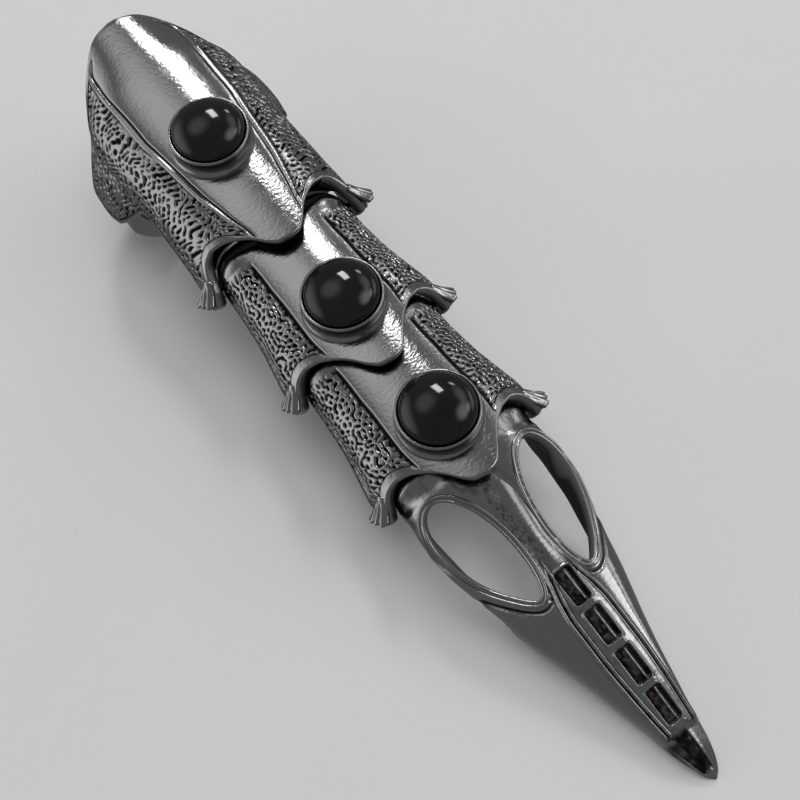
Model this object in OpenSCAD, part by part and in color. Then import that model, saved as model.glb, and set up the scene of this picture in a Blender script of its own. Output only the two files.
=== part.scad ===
// Full-finger armor ring: a base guard on a finger band, two shorter guards and a beak-shaped claw,
// riveted together at the sides, with a round stone on each guard.
// Millimetres. The origin is the middle of the finger hole. +X runs along the finger towards the
// claw, +Y is across it and +Z is up. The whole chain leans nose-down by the small angle at which
// the foot of the band and the tip of the claw stand on one level surface.

/* [Finger hole] */
// Radius of the finger hole
finger_r = 10; // [9.5:0.1:10.4]
// Metal round the finger hole
band_wall = 2.5; // [1.6:0.1:2.8]
// Length of the band along the finger
band_length = 8.5; // [7:0.5:10]
// Thinnest metal of the flat foot under the finger
foot_wall = 1; // [0.8:0.1:1.6]

/* [Guards] */
// Thickness of the cast plates
wall = 1.3; // [1.1:0.1:1.6]
// Room between the finger and the plate over it
finger_gap = 0.5; // [0.3:0.1:0.8]
// How far the sides of a guard stand outside the finger hole
side_step = 0.6; // [0.4:0.1:1]
// How far the lobes over the band flare out below the guard's sides
lobe_flare = 2.4; // [1:0.1:2.6]
// Gap between two plates that slide under one another
nest_gap = 0.3; // [0.25:0.05:0.5]
// How deep the grained panels lie in the flanks
panel_depth = 0.25; // [0.15:0.05:0.4]

/* [Chain] */
// From the round end of the base guard to the middle of the band
base_back = 13; // [12:0.5:16]
// From the middle of the band to the first hinge
base_front = 22.7; // [20:0.1:26]
// From one hinge to the next
hinge_pitch = 16.1; // [15:0.1:20]
// Height of the hinges above the middle of the finger
hinge_rise = 5.4; // [4.8:0.1:6]
// How far the base guard's tongue reaches past its hinge
base_tongue = 2; // [1.5:0.1:3]
// How far a short guard's tongue reaches past its hinge
tongue = 4.6; // [3.5:0.1:5.5]
// How far the notches beside the tongue lie behind the hinge, on the base guard
base_notch = 2.9; // [2.5:0.1:3.5]
// How far they lie behind the hinge on a short guard
notch = 1; // [0.5:0.1:1.5]

/* [Rivets] */
// Radius of a rivet's shank
rivet_r = 0.65; // [0.5:0.05:0.8]
// Radius of a rivet's outer head
rivet_head_r = 1.2; // [1.1:0.1:1.5]
// Height of a rivet's outer head
rivet_head_rise = 0.6; // [0.4:0.1:0.9]
// Radius of the round ears at the hinges
ear_r = 1.8; // [1.7:0.1:2.2]
// Running clearance round a rivet
rivet_gap = 0.06; // [0.04:0.01:0.09]

/* [Stones] */
// Radius of a stone at its girdle
stone_r = 4.2; // [3.6:0.1:4.4]
// Height of a stone's dome above its bezel
dome_rise = 2.2; // [1.5:0.1:2.6]
// Depth of the girdle held in the bezel
girdle_depth = 1.3; // [1:0.1:1.6]
// Wall of a bezel at its crest
bezel_wall = 0.3; // [0.25:0.05:0.5]
// How far a bezel's foot flares out from its crest
bezel_flare = 0.5; // [0.3:0.1:0.8]
// Height of a bezel's crest above its plate
bezel_rise = 2; // [1.8:0.1:2.4]
// Clearance between a stone and its bezel
stone_gap = 0.05; // [0.03:0.01:0.1]
// How far the base stone's middle lies behind the first hinge
base_stone_back = 13.6; // [12:0.1:14.5]
// How far the middle stone lies behind the second hinge
middle_stone_back = 4.3; // [3.6:0.1:5]
// How far the end stone lies behind the third hinge
end_stone_back = 3.6; // [3.4:0.1:5]

/* [Claw] */
// From the last hinge to the tip
claw_length = 41.7; // [36:0.1:48]
// Height of the tip's underside above the middle of the finger
tip_rise = 2.2; // [1.5:0.1:3]
// How far the claw's widest part lies inside the guards' nested width
claw_inset = 0.1; // [0:0.1:0.8]
// Half width of the ridge strip at its widest
strip_half = 2.8; // [2.5:0.1:3]
// How far the strip stands up from the claw's roof
strip_rise = 0.8; // [0.6:0.1:1]
// Length of a side window
window_length = 14.4; // [13:0.1:15]
// Width of a side window
window_width = 5; // [4.5:0.1:5.2]
// Turn of a window's long axis towards the strip
window_turn = 9; // [6:0.5:11]
// Length of one sunken slot in the strip
slot_length = 3.9; // [3.4:0.1:4.2]
// Width of one sunken slot
slot_width = 1.8; // [1.4:0.1:2]
// From one slot to the next
slot_pitch = 4.85; // [4.6:0.05:5]
// Depth of the slots
slot_depth = 0.6; // [0.4:0.05:0.8]
// Width of the fine rib that splits a slot lengthwise
slot_rib = 0.3; // [0.2:0.05:0.4]

/* [Hidden] */

GUNMETAL = [0.25, 0.25, 0.26];
BLACK_STONE = [0.03, 0.03, 0.035];

EXTRA = 1; // overlap that lets cuts run past a face
ROUND = 48; // segments of a full circle
FINE = 64;
SKIRT_TURN = 36; // section angle below the hinge at which a lobe has all its flare
GROOVE = 1.4; // depth of the line beside a panel, in panel depths

band_r = finger_r + band_wall;
side_half = finger_r + side_step;
skirt = side_half * PI / 180; // height of a flank below the hinge for one degree of section angle
crest = finger_r + finger_gap + wall;
inner_half = side_half - wall;
nested_half = inner_half - nest_gap;
// Each plate slopes so that its near end passes under the tongue behind it with the nesting gap
plate_slope = (wall + nest_gap) / hinge_pitch;
nested_crest = crest - plate_slope * (hinge_pitch + tongue);
claw_half = nested_half - claw_inset;
hinge_x = [base_front, base_front + hinge_pitch, base_front + 2 * hinge_pitch];
reach = hinge_x[2] + claw_length;

// Lean at which the flat foot and the tip of the claw stand on one level surface
foot_rise = finger_r + foot_wall;
foot_lean = atan((tip_rise + foot_rise) / reach);
foot_depth = foot_rise + band_length / 2 * tan(foot_lean);
lean = atan((tip_rise + foot_depth) / reach);

// Value at u of a table whose rows start with rising places; col is the column read
function at(table, u, col = 1) = lookup(u, [for (row = table) [row[0], row[col]]]);
function blend(a, b, w) = a + (b - a) * w;

// A point of an arched section: x, half width, crest height, section angle from the top
// and how far the part below the hinge's height flares out
function arch_point(x, half, top, angle, flare) = let (
        t = min(abs(angle), 90), below = max(abs(angle) - 90, 0))
    [x, sign(angle) * (half * sin(t) + flare * sin(min(below / SKIRT_TURN, 1) * 90)),
     hinge_rise + (top - hinge_rise) * cos(t) - below * skirt];

// A point of the round part of a nested plate, which turns about the hinge without rubbing
function tucked_point(hinge, half, top, angle, back) = let (r = (top - hinge_rise) * cos(angle))
    [hinge - r * sin(back), half * sin(angle), hinge_rise + r * cos(back)];

// Columns across a guard: [share of the way from the middle to the groove, share of the way from
// the groove to the edge, relief in panel depths]. The groove, the panel and the edge bead are here.
columns = [
    [0, 0, 0], [0.25, 0, 0], [0.5, 0, 0], [0.75, 0, 0], [0.95, 0, 0],
    [1, 0, -GROOVE], [1, 0.06, -1], [1, 0.24, -1], [1, 0.42, -1], [1, 0.6, -1], [1, 0.76, -1],
    [1, 0.9, -1], [1, 0.93, 0], [1, 0.965, 0.6], [1, 1, 0]];
half_columns = len(columns) - 1;
all_columns = [for (j = [-half_columns : half_columns]) concat([sign(j)], columns[abs(j)])];
function column_angle(col, groove, edge) = col[0] * (groove * col[1] + (edge - groove) * col[2]);

// Scalloped front edge: section angle, share of the tongue's length in front of the notch
scallop = [[0, 1], [7, 0.965], [13, 0.8], [19, 0.53], [25, 0.33], [31, 0.19], [38, 0.07], [48, 0]];
// Beside the notch the edge comes forward again to the side point, in shares of the ear's radius
side_point = [[48, 0], [57, 0.1], [68, 0.42], [78, 0.8], [88, 1], [96, 0.9], [104, 0.4]];
function front_edge(angle, tip, back) = let (t = abs(angle))
    t < 48 ? blend(-back, tip, at(scallop, t)) : blend(-back, 0.8 * ear_r, at(side_point, t));

// Rows along the base guard: share of its length up to the hinge, half width as a share of the side,
// share of the lobe's flare, crest in shares, edge angle, groove angle, wall in shares, panel or not
base_rows = [
    [0.000, 0.66, 0, 0.94, 10, 7, 0.8, 0], [0.012, 0.68, 0, 0.945, 22, 16, 0.9, 0],
    [0.040, 0.70, 0, 0.95, 36, 28, 1, 0], [0.085, 0.74, 0, 0.957, 50, 40, 1, 0],
    [0.125, 0.78, 0, 0.963, 62, 45, 1, 1], [0.170, 0.83, 0, 0.97, 76, 43, 1, 1],
    [0.215, 0.90, 0.3, 0.975, 92, 40, 1.3, 1], [0.260, 0.96, 0.7, 0.98, 110, 37, 1.9, 1],
    [0.320, 0.99, 1, 0.985, 126, 35, 2.4, 1], [0.390, 1, 1, 0.99, 131, 34, 2.5, 1],
    [0.460, 1, 0.9, 0.995, 127, 34, 2.4, 1], [0.520, 0.99, 0.5, 1, 113, 33, 1.9, 1],
    [0.570, 0.98, 0.1, 1, 99, 32, 1.3, 1], [0.620, 0.975, 0, 1, 94, 31, 1, 1],
    [0.700, 0.98, 0, 1, 93, 29, 1, 1]];
// Rows of the front part: share of the way to the scalloped edge, then as above
base_front_rows = [
    [0.25, 0.985, 0, 1, 94, 27, 1, 1], [0.5, 0.99, 0, 1, 97, 24, 1, 1],
    [0.72, 1, 0, 1, 100, 21, 1, 1], [0.85, 1, 0, 1, 102, 18, 1, 1],
    [0.88, 1, 0, 1, 102, 18, 1, 0], [1, 1, 0, 1, 104, 17, 1, 0]];

// The same for a short guard, from its own near hinge on; column 2 is the share of the way from the
// nested half width to the full one, and the crest follows the plate's even slope
guard_rows = [
    [0.00, 0, 0, 0, 90, 34, 1, 0], [0.07, 0, 0, 0, 95, 34, 1, 0],
    [0.16, 0, 0, 0, 99, 34, 1, 1], [0.30, 0.1, 0, 0, 100, 34, 1, 1],
    [0.44, 0.25, 0, 0, 99, 33, 1, 1]];
guard_front_rows = [
    [0.25, 0.5, 0, 0, 98, 32, 1, 1], [0.5, 0.8, 0, 0, 98, 31, 1, 1],
    [0.72, 1, 0, 0, 100, 30, 1, 1], [0.85, 1, 0, 0, 102, 29, 1, 1],
    [0.88, 1, 0, 0, 102, 29, 1, 0], [1, 1, 0, 0, 104, 28, 1, 0]];

// Outer or inner point of one row. row as above, half and top are its outer sizes, x its place
function guard_point(x, half, top, row, col, inside) = let (
        angle = column_angle(col, row[5], row[4]),
        lift = inside ? -wall * row[6] : row[7] > 0 ? col[3] * panel_depth : 0)
    arch_point(x, half + lift, top + lift, angle, inside ? 0 : lobe_flare * row[2]);

function base_half(row) = side_half * row[1];
function base_top(row) = crest * row[3];
base_length = base_back + base_front;
function base_line(inside) = concat(
    [for (row = base_rows) [for (col = all_columns)
        guard_point(blend(-base_back, base_front, row[0]), base_half(row), base_top(row), row, col, inside)]],
    [for (row = base_front_rows) [for (col = all_columns) let (
            start = blend(-base_back, base_front, base_rows[len(base_rows) - 1][0]),
            angle = column_angle(col, row[5], row[4]),
            x = blend(start, base_front + front_edge(angle, base_tongue, base_notch), row[0]))
        guard_point(x, base_half(row), base_top(row), row, col, inside)]]);

function guard_half(row) = blend(nested_half, side_half, row[1]);
function guard_top(x) = nested_crest + plate_slope * x;
tuck_angles = [26, 13];
tuck_edge = 86;
function guard_line(inside) = concat(
    [for (back = tuck_angles) [for (col = all_columns) let (lift = inside ? -wall : 0)
        tucked_point(0, nested_half + lift, nested_crest + lift,
            column_angle(col, guard_rows[0][5], tuck_edge), back)]],
    [for (row = guard_rows) [for (col = all_columns)
        let (x = hinge_pitch * row[0]) guard_point(x, guard_half(row), guard_top(x), row, col, inside)]],
    [for (row = guard_front_rows) [for (col = all_columns) let (
            start = hinge_pitch * guard_rows[len(guard_rows) - 1][0],
            angle = column_angle(col, row[5], row[4]),
            x = blend(start, hinge_pitch + front_edge(angle, tongue, notch), row[0]))
        guard_point(x, guard_half(row), guard_top(x), row, col, inside)]]);

// Closed wall between an outer and an inner grid of points
module cast_wall(outer, inner) {
    m = len(outer);
    n = len(outer[0]);
    k = m * n;
    outer_faces = [for (i = [0 : m - 2], j = [0 : n - 2]) let (a = i * n + j, b = a + 1, c = b + n, d = a + n)
        each [[a, b, c], [a, c, d]]];
    inner_faces = [for (f = outer_faces) [f[2] + k, f[1] + k, f[0] + k]];
    rim = concat([for (i = [0 : m - 1]) i * n], [for (j = [1 : n - 1]) (m - 1) * n + j],
        [for (i = [m - 2 : -1 : 0]) i * n + n - 1], [for (j = [n - 2 : -1 : 1]) j]);
    rim_faces = [for (i = [0 : len(rim) - 1]) let (a = rim[i], b = rim[(i + 1) % len(rim)])
        each [[a, a + k, b + k], [a, b + k, b]]];
    polyhedron([for (row = concat(outer, inner)) each row], concat(outer_faces, inner_faces, rim_faces));
}

// Everything is modelled along the finger and then laid down
module laid() { rotate([0, lean, 0]) children(); }
module across(x, y, z) { translate([x, y, z]) rotate([-90, 0, 0]) children(); }

// Round ear on both sides, between two distances from the middle
module ears(x, from, to) {
    for (side = [-1, 1])
        across(x, side > 0 ? from : -to, hinge_rise) cylinder(r = ear_r, h = to - from, $fn = ROUND);
}
// Round cut across the whole width, up to a distance from the middle on each side
module cross_cut(x, radius, to) {
    across(x, -to, hinge_rise) cylinder(r = radius, h = 2 * to, $fn = ROUND);
}
module rivet_holes(x) { cross_cut(x, rivet_r + rivet_gap, side_half + EXTRA); }
// Room in a guard for the ears of the next piece, and in that piece for the rivets' inner heads
module ear_room(x) { cross_cut(x, ear_r + nest_gap, inner_half); }
module head_room(x) { cross_cut(x, inner_head_r + 2 * rivet_gap, nested_half - wall); }

// Bezel: a flared collar with a round pocket for the stone
bezel_r = stone_r + stone_gap + bezel_wall;
pocket_floor = bezel_rise - girdle_depth;
bezel_sink = 0.75 * wall;
module bezel() {
    rotate_extrude($fn = FINE) polygon([[0, -bezel_sink], [bezel_r + bezel_flare, -bezel_sink],
        [bezel_r + bezel_flare, 0.35 * bezel_rise], [bezel_r, 0.6 * bezel_rise],
        [bezel_r, 0.92 * bezel_rise], [bezel_r - 0.3 * bezel_wall, bezel_rise],
        [stone_r + stone_gap, bezel_rise], [stone_r + stone_gap, pocket_floor], [0, pocket_floor]]);
}
// Cabochon: a short girdle under a dome
dome_steps = 8;
module stone() {
    rotate_extrude($fn = FINE) polygon(concat([[0, pocket_floor + stone_gap], [stone_r, pocket_floor + stone_gap]],
        [for (i = [0 : dome_steps]) let (t = 90 * i / dome_steps)
            [stone_r * cos(t), bezel_rise + dome_rise * sin(t)]]));
}

// Seats of the three stones: place along the finger, height of the plate there, slope
base_seat_x = base_front - base_stone_back;
base_seat_rise = crest * at(concat([for (row = base_rows) [row[0], row[3]]], [[1, 1]]),
    (base_seat_x + base_back) / base_length);
base_seat_tilt = 2.5;
module base_seat() { translate([base_seat_x, 0, base_seat_rise]) rotate([0, -base_seat_tilt, 0]) children(); }
module guard_seat(back) {
    translate([hinge_pitch - back, 0, guard_top(hinge_pitch - back)])
        rotate([0, -atan(plate_slope), 0]) children();
}

// The finger hole is bored through the thick part of the lobes
bore_front = 0.35 * base_front;
// The band starts inside the lobes; over it the base guard's own plate goes round the finger hole.
// Its foot is ground flat, level with the claw's tip.
band_top = finger_r / 10;
module band() {
    intersection() {
        rotate([0, 90, 0]) cylinder(r = band_r, h = band_length, center = true, $fn = FINE);
        translate([-band_length / 2, -band_r - EXTRA, band_top - 2 * band_r])
            cube([band_length, 2 * (band_r + EXTRA), 2 * band_r]);
        rotate([0, -lean, 0]) translate([-band_length, -2 * band_r, -foot_depth * cos(lean)])
            cube([2 * band_length, 4 * band_r, 2 * band_r]);
    }
}

module base_guard() color(GUNMETAL) laid() {
    difference() {
        union() {
            cast_wall(base_line(false), base_line(true));
            band();
            base_seat() bezel();
            ears(hinge_x[0], inner_half, side_half);
        }
        translate([-base_back - EXTRA, 0, 0]) rotate([0, 90, 0])
            cylinder(r = finger_r, h = base_back + EXTRA + bore_front, $fn = FINE);
        ear_room(hinge_x[0]);
        rivet_holes(hinge_x[0]);
    }
}

module short_guard(back) {
    difference() {
        union() {
            cast_wall(guard_line(false), guard_line(true));
            guard_seat(back) bezel();
            ears(0, nested_half - wall, nested_half);
            ears(hinge_pitch, inner_half, side_half);
        }
        head_room(0);
        rivet_holes(0);
        ear_room(hinge_pitch);
        rivet_holes(hinge_pitch);
    }
}
module middle_guard() color(GUNMETAL) laid() translate([hinge_x[0], 0, 0]) short_guard(middle_stone_back);
module end_guard() color(GUNMETAL) laid() translate([hinge_x[1], 0, 0]) short_guard(end_stone_back);

module base_stone() color(BLACK_STONE) laid() base_seat() stone();
module middle_stone() color(BLACK_STONE) laid() translate([hinge_x[0], 0, 0])
    guard_seat(middle_stone_back) stone();
module end_stone() color(BLACK_STONE) laid() translate([hinge_x[1], 0, 0])
    guard_seat(end_stone_back) stone();

// Rivet: domed head outside, shank through both ears, flat head inside
inner_head_r = 1.5 * rivet_r;
inner_head_rise = 0.5 * rivet_r;
rivet_reach = side_half - (nested_half - wall) + rivet_gap;
module rivet(x, side) {
    across(x, 0, hinge_rise) mirror([0, 0, side > 0 ? 0 : 1]) translate([0, 0, nested_half - wall - rivet_gap])
        rotate_extrude($fn = ROUND) polygon([
            [0, -inner_head_rise], [inner_head_r, -inner_head_rise], [inner_head_r, 0], [rivet_r, 0],
            [rivet_r, rivet_reach + rivet_gap], [rivet_head_r, rivet_reach + rivet_gap],
            [rivet_head_r, rivet_reach + 0.4 * rivet_head_rise],
            [0.75 * rivet_head_r, rivet_reach + 0.8 * rivet_head_rise],
            [0.4 * rivet_head_r, rivet_reach + rivet_head_rise], [0, rivet_reach + rivet_head_rise]]);
}
module first_left_rivet() color(GUNMETAL) laid() rivet(hinge_x[0], -1);
module first_right_rivet() color(GUNMETAL) laid() rivet(hinge_x[0], 1);
module second_left_rivet() color(GUNMETAL) laid() rivet(hinge_x[1], -1);
module second_right_rivet() color(GUNMETAL) laid() rivet(hinge_x[1], 1);
module third_left_rivet() color(GUNMETAL) laid() rivet(hinge_x[2], -1);
module third_right_rivet() color(GUNMETAL) laid() rivet(hinge_x[2], 1);

// Claw, from the last hinge on. Rows: share of the length, half width as a share of claw_half, roof
// height and edge height in shares of the nested crest, roof half width as a share of strip_half,
// how full the flank's curve is, whether the inside is hollow, and how far the edge turns in
claw_rows = [
    [0.00, 1.00, 1.00, 0.575, 0.05, 0.1, 1, 1], [0.035, 1.00, 0.99, 0.45, 0.3, 0.3, 1, 0.985],
    [0.06, 0.99, 0.985, 0.38, 0.6, 0.8, 1, 0.97],
    [0.13, 1.00, 0.96, 0.32, 0.75, 0.9, 1, 0.94], [0.22, 0.98, 0.92, 0.30, 0.8, 0.8, 1, 0.92],
    [0.31, 0.89, 0.87, 0.28, 0.9, 0.7, 1, 0.93], [0.39, 0.82, 0.82, 0.26, 1.0, 0.6, 1, 0.96],
    [0.45, 0.76, 0.78, 0.24, 1.0, 0.5, 1, 1], [0.52, 0.665, 0.74, 0.24, 1.0, 0.5, 1, 1],
    [0.60, 0.55, 0.68, 0.24, 1.0, 0.5, 1, 1], [0.68, 0.45, 0.62, 0.24, 0.95, 0.5, 1, 1],
    [0.74, 0.385, 0.57, 0.24, 0.9, 0.5, 0, 1], [0.82, 0.295, 0.49, 0.24, 0.8, 0.5, 0, 1],
    [0.89, 0.21, 0.43, 0.24, 0.65, 0.5, 0, 1], [0.95, 0.135, 0.365, 0.235, 0.4, 0.5, 0, 1],
    [1.00, 0.04, 0.28, tip_rise / nested_crest, 0.12, 0.5, 0, 1]];
flank_steps = 6;
FLANK_BEND = 0.42; // how far up its height a flank starts to curve, where its curve is full
// Half section: from the middle over the roof, down the flank and to the edge
function claw_half_section(row, w) = let (
        roof_half = strip_half * row[4], side = max(claw_half * row[1], 1.15 * roof_half),
        top = nested_crest * row[2], low = nested_crest * row[3],
        bend = blend(low, top, FLANK_BEND * row[5]), roof_edge = roof_half * (1 - w / wall / 3))
    concat([[0, top - w], [roof_edge / 2, top - w], [roof_edge, top - w]],
        [for (i = [1 : flank_steps]) let (t = 90 * i / flank_steps)
            [blend(roof_edge, side - w, sin(t)), blend(bend, top - w, cos(t))]],
        [[(side - w) * row[7], low]]);
function flat_underside(section) = let (e = section[len(section) - 1])
    [for (i = [0 : len(section) - 1]) [e[0] * i / (len(section) - 1), e[1]]];
function both_sides(x, half) = concat(
    [for (i = [len(half) - 1 : -1 : 1]) [x, -half[i][0], half[i][1]]], [for (p = half) [x, p[0], p[1]]]);
function claw_line(inside) = [for (row = claw_rows) both_sides(claw_length * row[0],
    !inside ? claw_half_section(row, 0)
    : row[6] > 0 ? claw_half_section(row, wall) : flat_underside(claw_half_section(row, 0)))];
// The tucked end of the claw turns about the hinge like that of a guard
function claw_tuck(inside) = [for (back = tuck_angles) let (w = inside ? wall : 0)
    [for (p = both_sides(0, claw_half_section(claw_rows[0], w)))
        let (r = max(p[2] - hinge_rise, 0)) [-r * sin(back), p[1], hinge_rise + r * cos(back)]]];

module claw_shell() {
    cast_wall(concat(claw_tuck(false), claw_line(false)), concat(claw_tuck(true), claw_line(true)));
}

// Roof height along the claw, and a bar of a rounded section that follows it
function roof(u) = nested_crest * at([for (row = claw_rows) [row[0], row[2]]], u);
strip_rows = [
    [0.1, 0.82, -0.2], [0.135, 0.83, 0.3], [0.18, 0.84, 0.9], [0.24, 0.85, 1], [0.32, 0.88, 1],
    [0.4, 0.98, 1], [0.47, 1, 1],
    [0.6, 1, 1], [0.7, 0.95, 1], [0.8, 0.85, 1], [0.88, 0.7, 1], [0.95, 0.42, 0.8], [0.99, 0.2, 0.5]];
strip_chamfer = 0.3 * strip_rise;
function strip_ring(row) = let (
        x = claw_length * row[0], half = strip_half * row[1], top = roof(row[0]) + strip_rise * row[2],
        low = roof(row[0]) - 0.6 * wall)
    [[x, -half, low], [x, -half, top - strip_chamfer], [x, -half + strip_chamfer, top],
     [x, half - strip_chamfer, top], [x, half, top - strip_chamfer], [x, half, low]];
module lofted(rings) {
    n = len(rings[0]);
    m = len(rings);
    polyhedron([for (ring = rings) each ring], concat(
        [for (i = [0 : m - 2], j = [0 : n - 1]) let (a = i * n + j, b = i * n + (j + 1) % n)
            each [[a, b, b + n], [a, b + n, a + n]]],
        [[for (j = [n - 1 : -1 : 0]) j]], [[for (j = [0 : n - 1]) (m - 1) * n + j]]));
}
module strip() { lofted([for (row = strip_rows) strip_ring(row)]); }

// Side windows: an oval seen from above, turned towards the strip
window_x = 10.3;
window_margin = 0.95; // from a window's outer side to the claw's widest part
window_y = claw_half - window_margin - window_width / 2;
window_points = 28;
function window_oval(side) = [for (i = [0 : window_points - 1]) let (
        t = 360 * i / window_points,
        a = window_length / 2 * cos(t), b = window_width / 2 * sin(t))
    [window_x + a * cos(window_turn) + b * sin(window_turn),
     side * (window_y - a * sin(window_turn) + b * cos(window_turn))]];
module window_cut(side) { linear_extrude(height = 2 * crest) polygon(window_oval(side)); }

slots_start = 0.376 * claw_length;
module slots() {
    for (i = [0 : 3]) {
        x = slots_start + i * slot_pitch;
        u = (x + slot_length / 2) / claw_length;
        slope = atan((roof(u - 0.05) - roof(u + 0.05)) / (0.1 * claw_length));
        translate([x + slot_length / 2, 0, roof(u) + strip_rise]) rotate([0, slope, 0])
            for (side = [-1, 1])
                translate([-slot_length / 2, side > 0 ? slot_rib / 2 : -slot_width / 2, -slot_depth])
                    cube([slot_length, (slot_width - slot_rib) / 2, 2 * slot_depth]);
    }
}

module claw() color(GUNMETAL) laid() translate([hinge_x[2], 0, 0]) {
    difference() {
        union() {
            difference() {
                claw_shell();
                for (side = [-1, 1]) window_cut(side);
            }
            strip();
            ears(0, nested_half - wall, nested_half);
        }
        slots();
        head_room(0);
        rivet_holes(0);
    }
}

base_guard();
middle_guard();
end_guard();
claw();
base_stone();
middle_stone();
end_stone();
first_left_rivet();
first_right_rivet();
second_left_rivet();
second_right_rivet();
third_left_rivet();
third_right_rivet();
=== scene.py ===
# %% [markdown]
# # An armor ring for a whole finger
# The real thing is cast zinc, plated a dark gunmetal and polished by hand: one long guard on a finger
# band, two short guards and a claw, riveted at the sides. The CAD frame fixes every size, place and
# hinge. Here each plate is made again as a fine mesh over the same surface, because the grain of the
# side panels, the thin filed rims and the wires round the openings are what the eye reads as cast
# jewellery.

# %% Load the frame
import math

import bmesh
import bpy
import numpy as np
from mathutils import Matrix, Vector


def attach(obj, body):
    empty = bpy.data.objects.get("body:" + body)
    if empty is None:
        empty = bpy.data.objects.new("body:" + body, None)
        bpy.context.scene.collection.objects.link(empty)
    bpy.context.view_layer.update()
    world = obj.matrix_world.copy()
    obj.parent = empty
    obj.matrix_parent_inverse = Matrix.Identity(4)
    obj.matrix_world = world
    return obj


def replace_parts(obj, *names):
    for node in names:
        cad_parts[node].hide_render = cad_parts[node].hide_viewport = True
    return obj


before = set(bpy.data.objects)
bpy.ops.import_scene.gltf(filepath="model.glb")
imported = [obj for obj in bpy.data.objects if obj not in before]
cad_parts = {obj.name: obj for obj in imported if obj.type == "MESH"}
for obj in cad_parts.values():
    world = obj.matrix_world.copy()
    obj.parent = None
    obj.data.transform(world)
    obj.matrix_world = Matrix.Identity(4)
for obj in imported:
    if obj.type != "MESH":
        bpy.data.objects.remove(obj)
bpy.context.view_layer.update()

# %% [markdown]
# ## The chain lies on its nose
# All shapes are written along the straight finger, in millimetres, with the origin in the middle of
# the finger hole. The ring rests on the flat of its band and on the tip of the claw, so the whole chain
# leans by one angle. It is easier to think along the finger and to turn every point once at the end
# than to write leaning shapes, and it keeps each piece on the CAD.

# %% Sizes of the chain and the lean
FINGER_R, BAND_WALL, BAND_LENGTH, FOOT_WALL = 10.0, 2.5, 8.5, 1.0
WALL, FINGER_GAP, SIDE_STEP, LOBE_FLARE, NEST_GAP = 1.3, 0.5, 0.6, 2.4, 0.3
BASE_BACK, BASE_FRONT, PITCH, HINGE_RISE = 13.0, 22.7, 16.1, 5.4
CLAW_LENGTH, TIP_RISE = 41.7, 2.2
HINGES = [BASE_FRONT + i * PITCH for i in range(3)]
BAND_R = FINGER_R + BAND_WALL
SIDE_HALF = FINGER_R + SIDE_STEP
CREST = FINGER_R + FINGER_GAP + WALL
NESTED_HALF = SIDE_HALF - WALL - NEST_GAP
TONGUE = 4.6
PLATE_SLOPE = (WALL + NEST_GAP) / PITCH
NESTED_CREST = CREST - PLATE_SLOPE * (PITCH + TONGUE)
REACH = HINGES[2] + CLAW_LENGTH
FOOT_LEAN = math.atan((TIP_RISE + FINGER_R + FOOT_WALL) / REACH)
FOOT_DEPTH = FINGER_R + FOOT_WALL + BAND_LENGTH / 2 * math.tan(FOOT_LEAN)
LEAN = math.atan((TIP_RISE + FOOT_DEPTH) / REACH)
FLOOR = -FOOT_DEPTH * math.cos(LEAN)
MM = 0.001
print("lean", round(math.degrees(LEAN), 2), "degrees, floor at", round(FLOOR, 2), "mm")


def laid(points):
    """Points along the finger in mm, turned by the lean and given in metres."""
    p = np.asarray(points, float)
    c, s = math.cos(LEAN), math.sin(LEAN)
    return np.stack([p[..., 0] * c + p[..., 2] * s, p[..., 1], -p[..., 0] * s + p[..., 2] * c], -1) * MM


# %% [markdown]
# ## Gunmetal, patina and painted shade
# The plating is a dark mirror with faint casting waves, and a maker blackens the low places so that the
# grain stands out. A mirror needs very little colour: its look is what it reflects and how sharply. So
# the shader is one metal whose roughness wanders a little, and each mesh carries a value called
# patina_and_shade, 0 on polished metal and 1 in the bottom of a groove, that darkens and dulls it. Beside
# the real patina of the grooves it holds painted shade: the insides, the lower half of the rounded
# edges, the tucked near ends, the stop rib, the bezel walls and the band's inside are darkened where
# shade falls.

# %% Material helpers


def new_material(name, rgb):
    """Material with a Principled shader, and its nodes, links and shader."""
    made = bpy.data.materials.new(name)
    made.use_nodes = True
    made.diffuse_color = (*rgb, 1)
    nodes, links = made.node_tree.nodes, made.node_tree.links
    shader = nodes["Principled BSDF"]
    return made, nodes, links, shader


def noise_node(nodes, links, scale, detail=3.0, stretch=(1, 1, 1)):
    """Procedural noise in object space; scale counts waves per millimetre."""
    where = nodes.new("ShaderNodeTexCoord")
    mapping = nodes.new("ShaderNodeMapping")
    mapping.inputs["Scale"].default_value = stretch
    links.new(where.outputs["Object"], mapping.inputs["Vector"])
    wave = nodes.new("ShaderNodeTexNoise")
    wave.inputs["Scale"].default_value = scale / MM
    wave.inputs["Detail"].default_value = detail
    links.new(mapping.outputs["Vector"], wave.inputs["Vector"])
    return wave


def ramp_node(nodes, links, source, stops):
    """Colour ramp on a source, from rows of (place, grey or colour)."""
    ramp = nodes.new("ShaderNodeValToRGB")
    while len(ramp.color_ramp.elements) < len(stops):
        ramp.color_ramp.elements.new(0.5)
    for element, (place, value) in zip(ramp.color_ramp.elements, stops):
        element.position = place
        element.color = (*value, 1) if isinstance(value, tuple) else (value, value, value, 1)
    links.new(source, ramp.inputs["Fac"])
    return ramp


# %% Gunmetal


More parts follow.
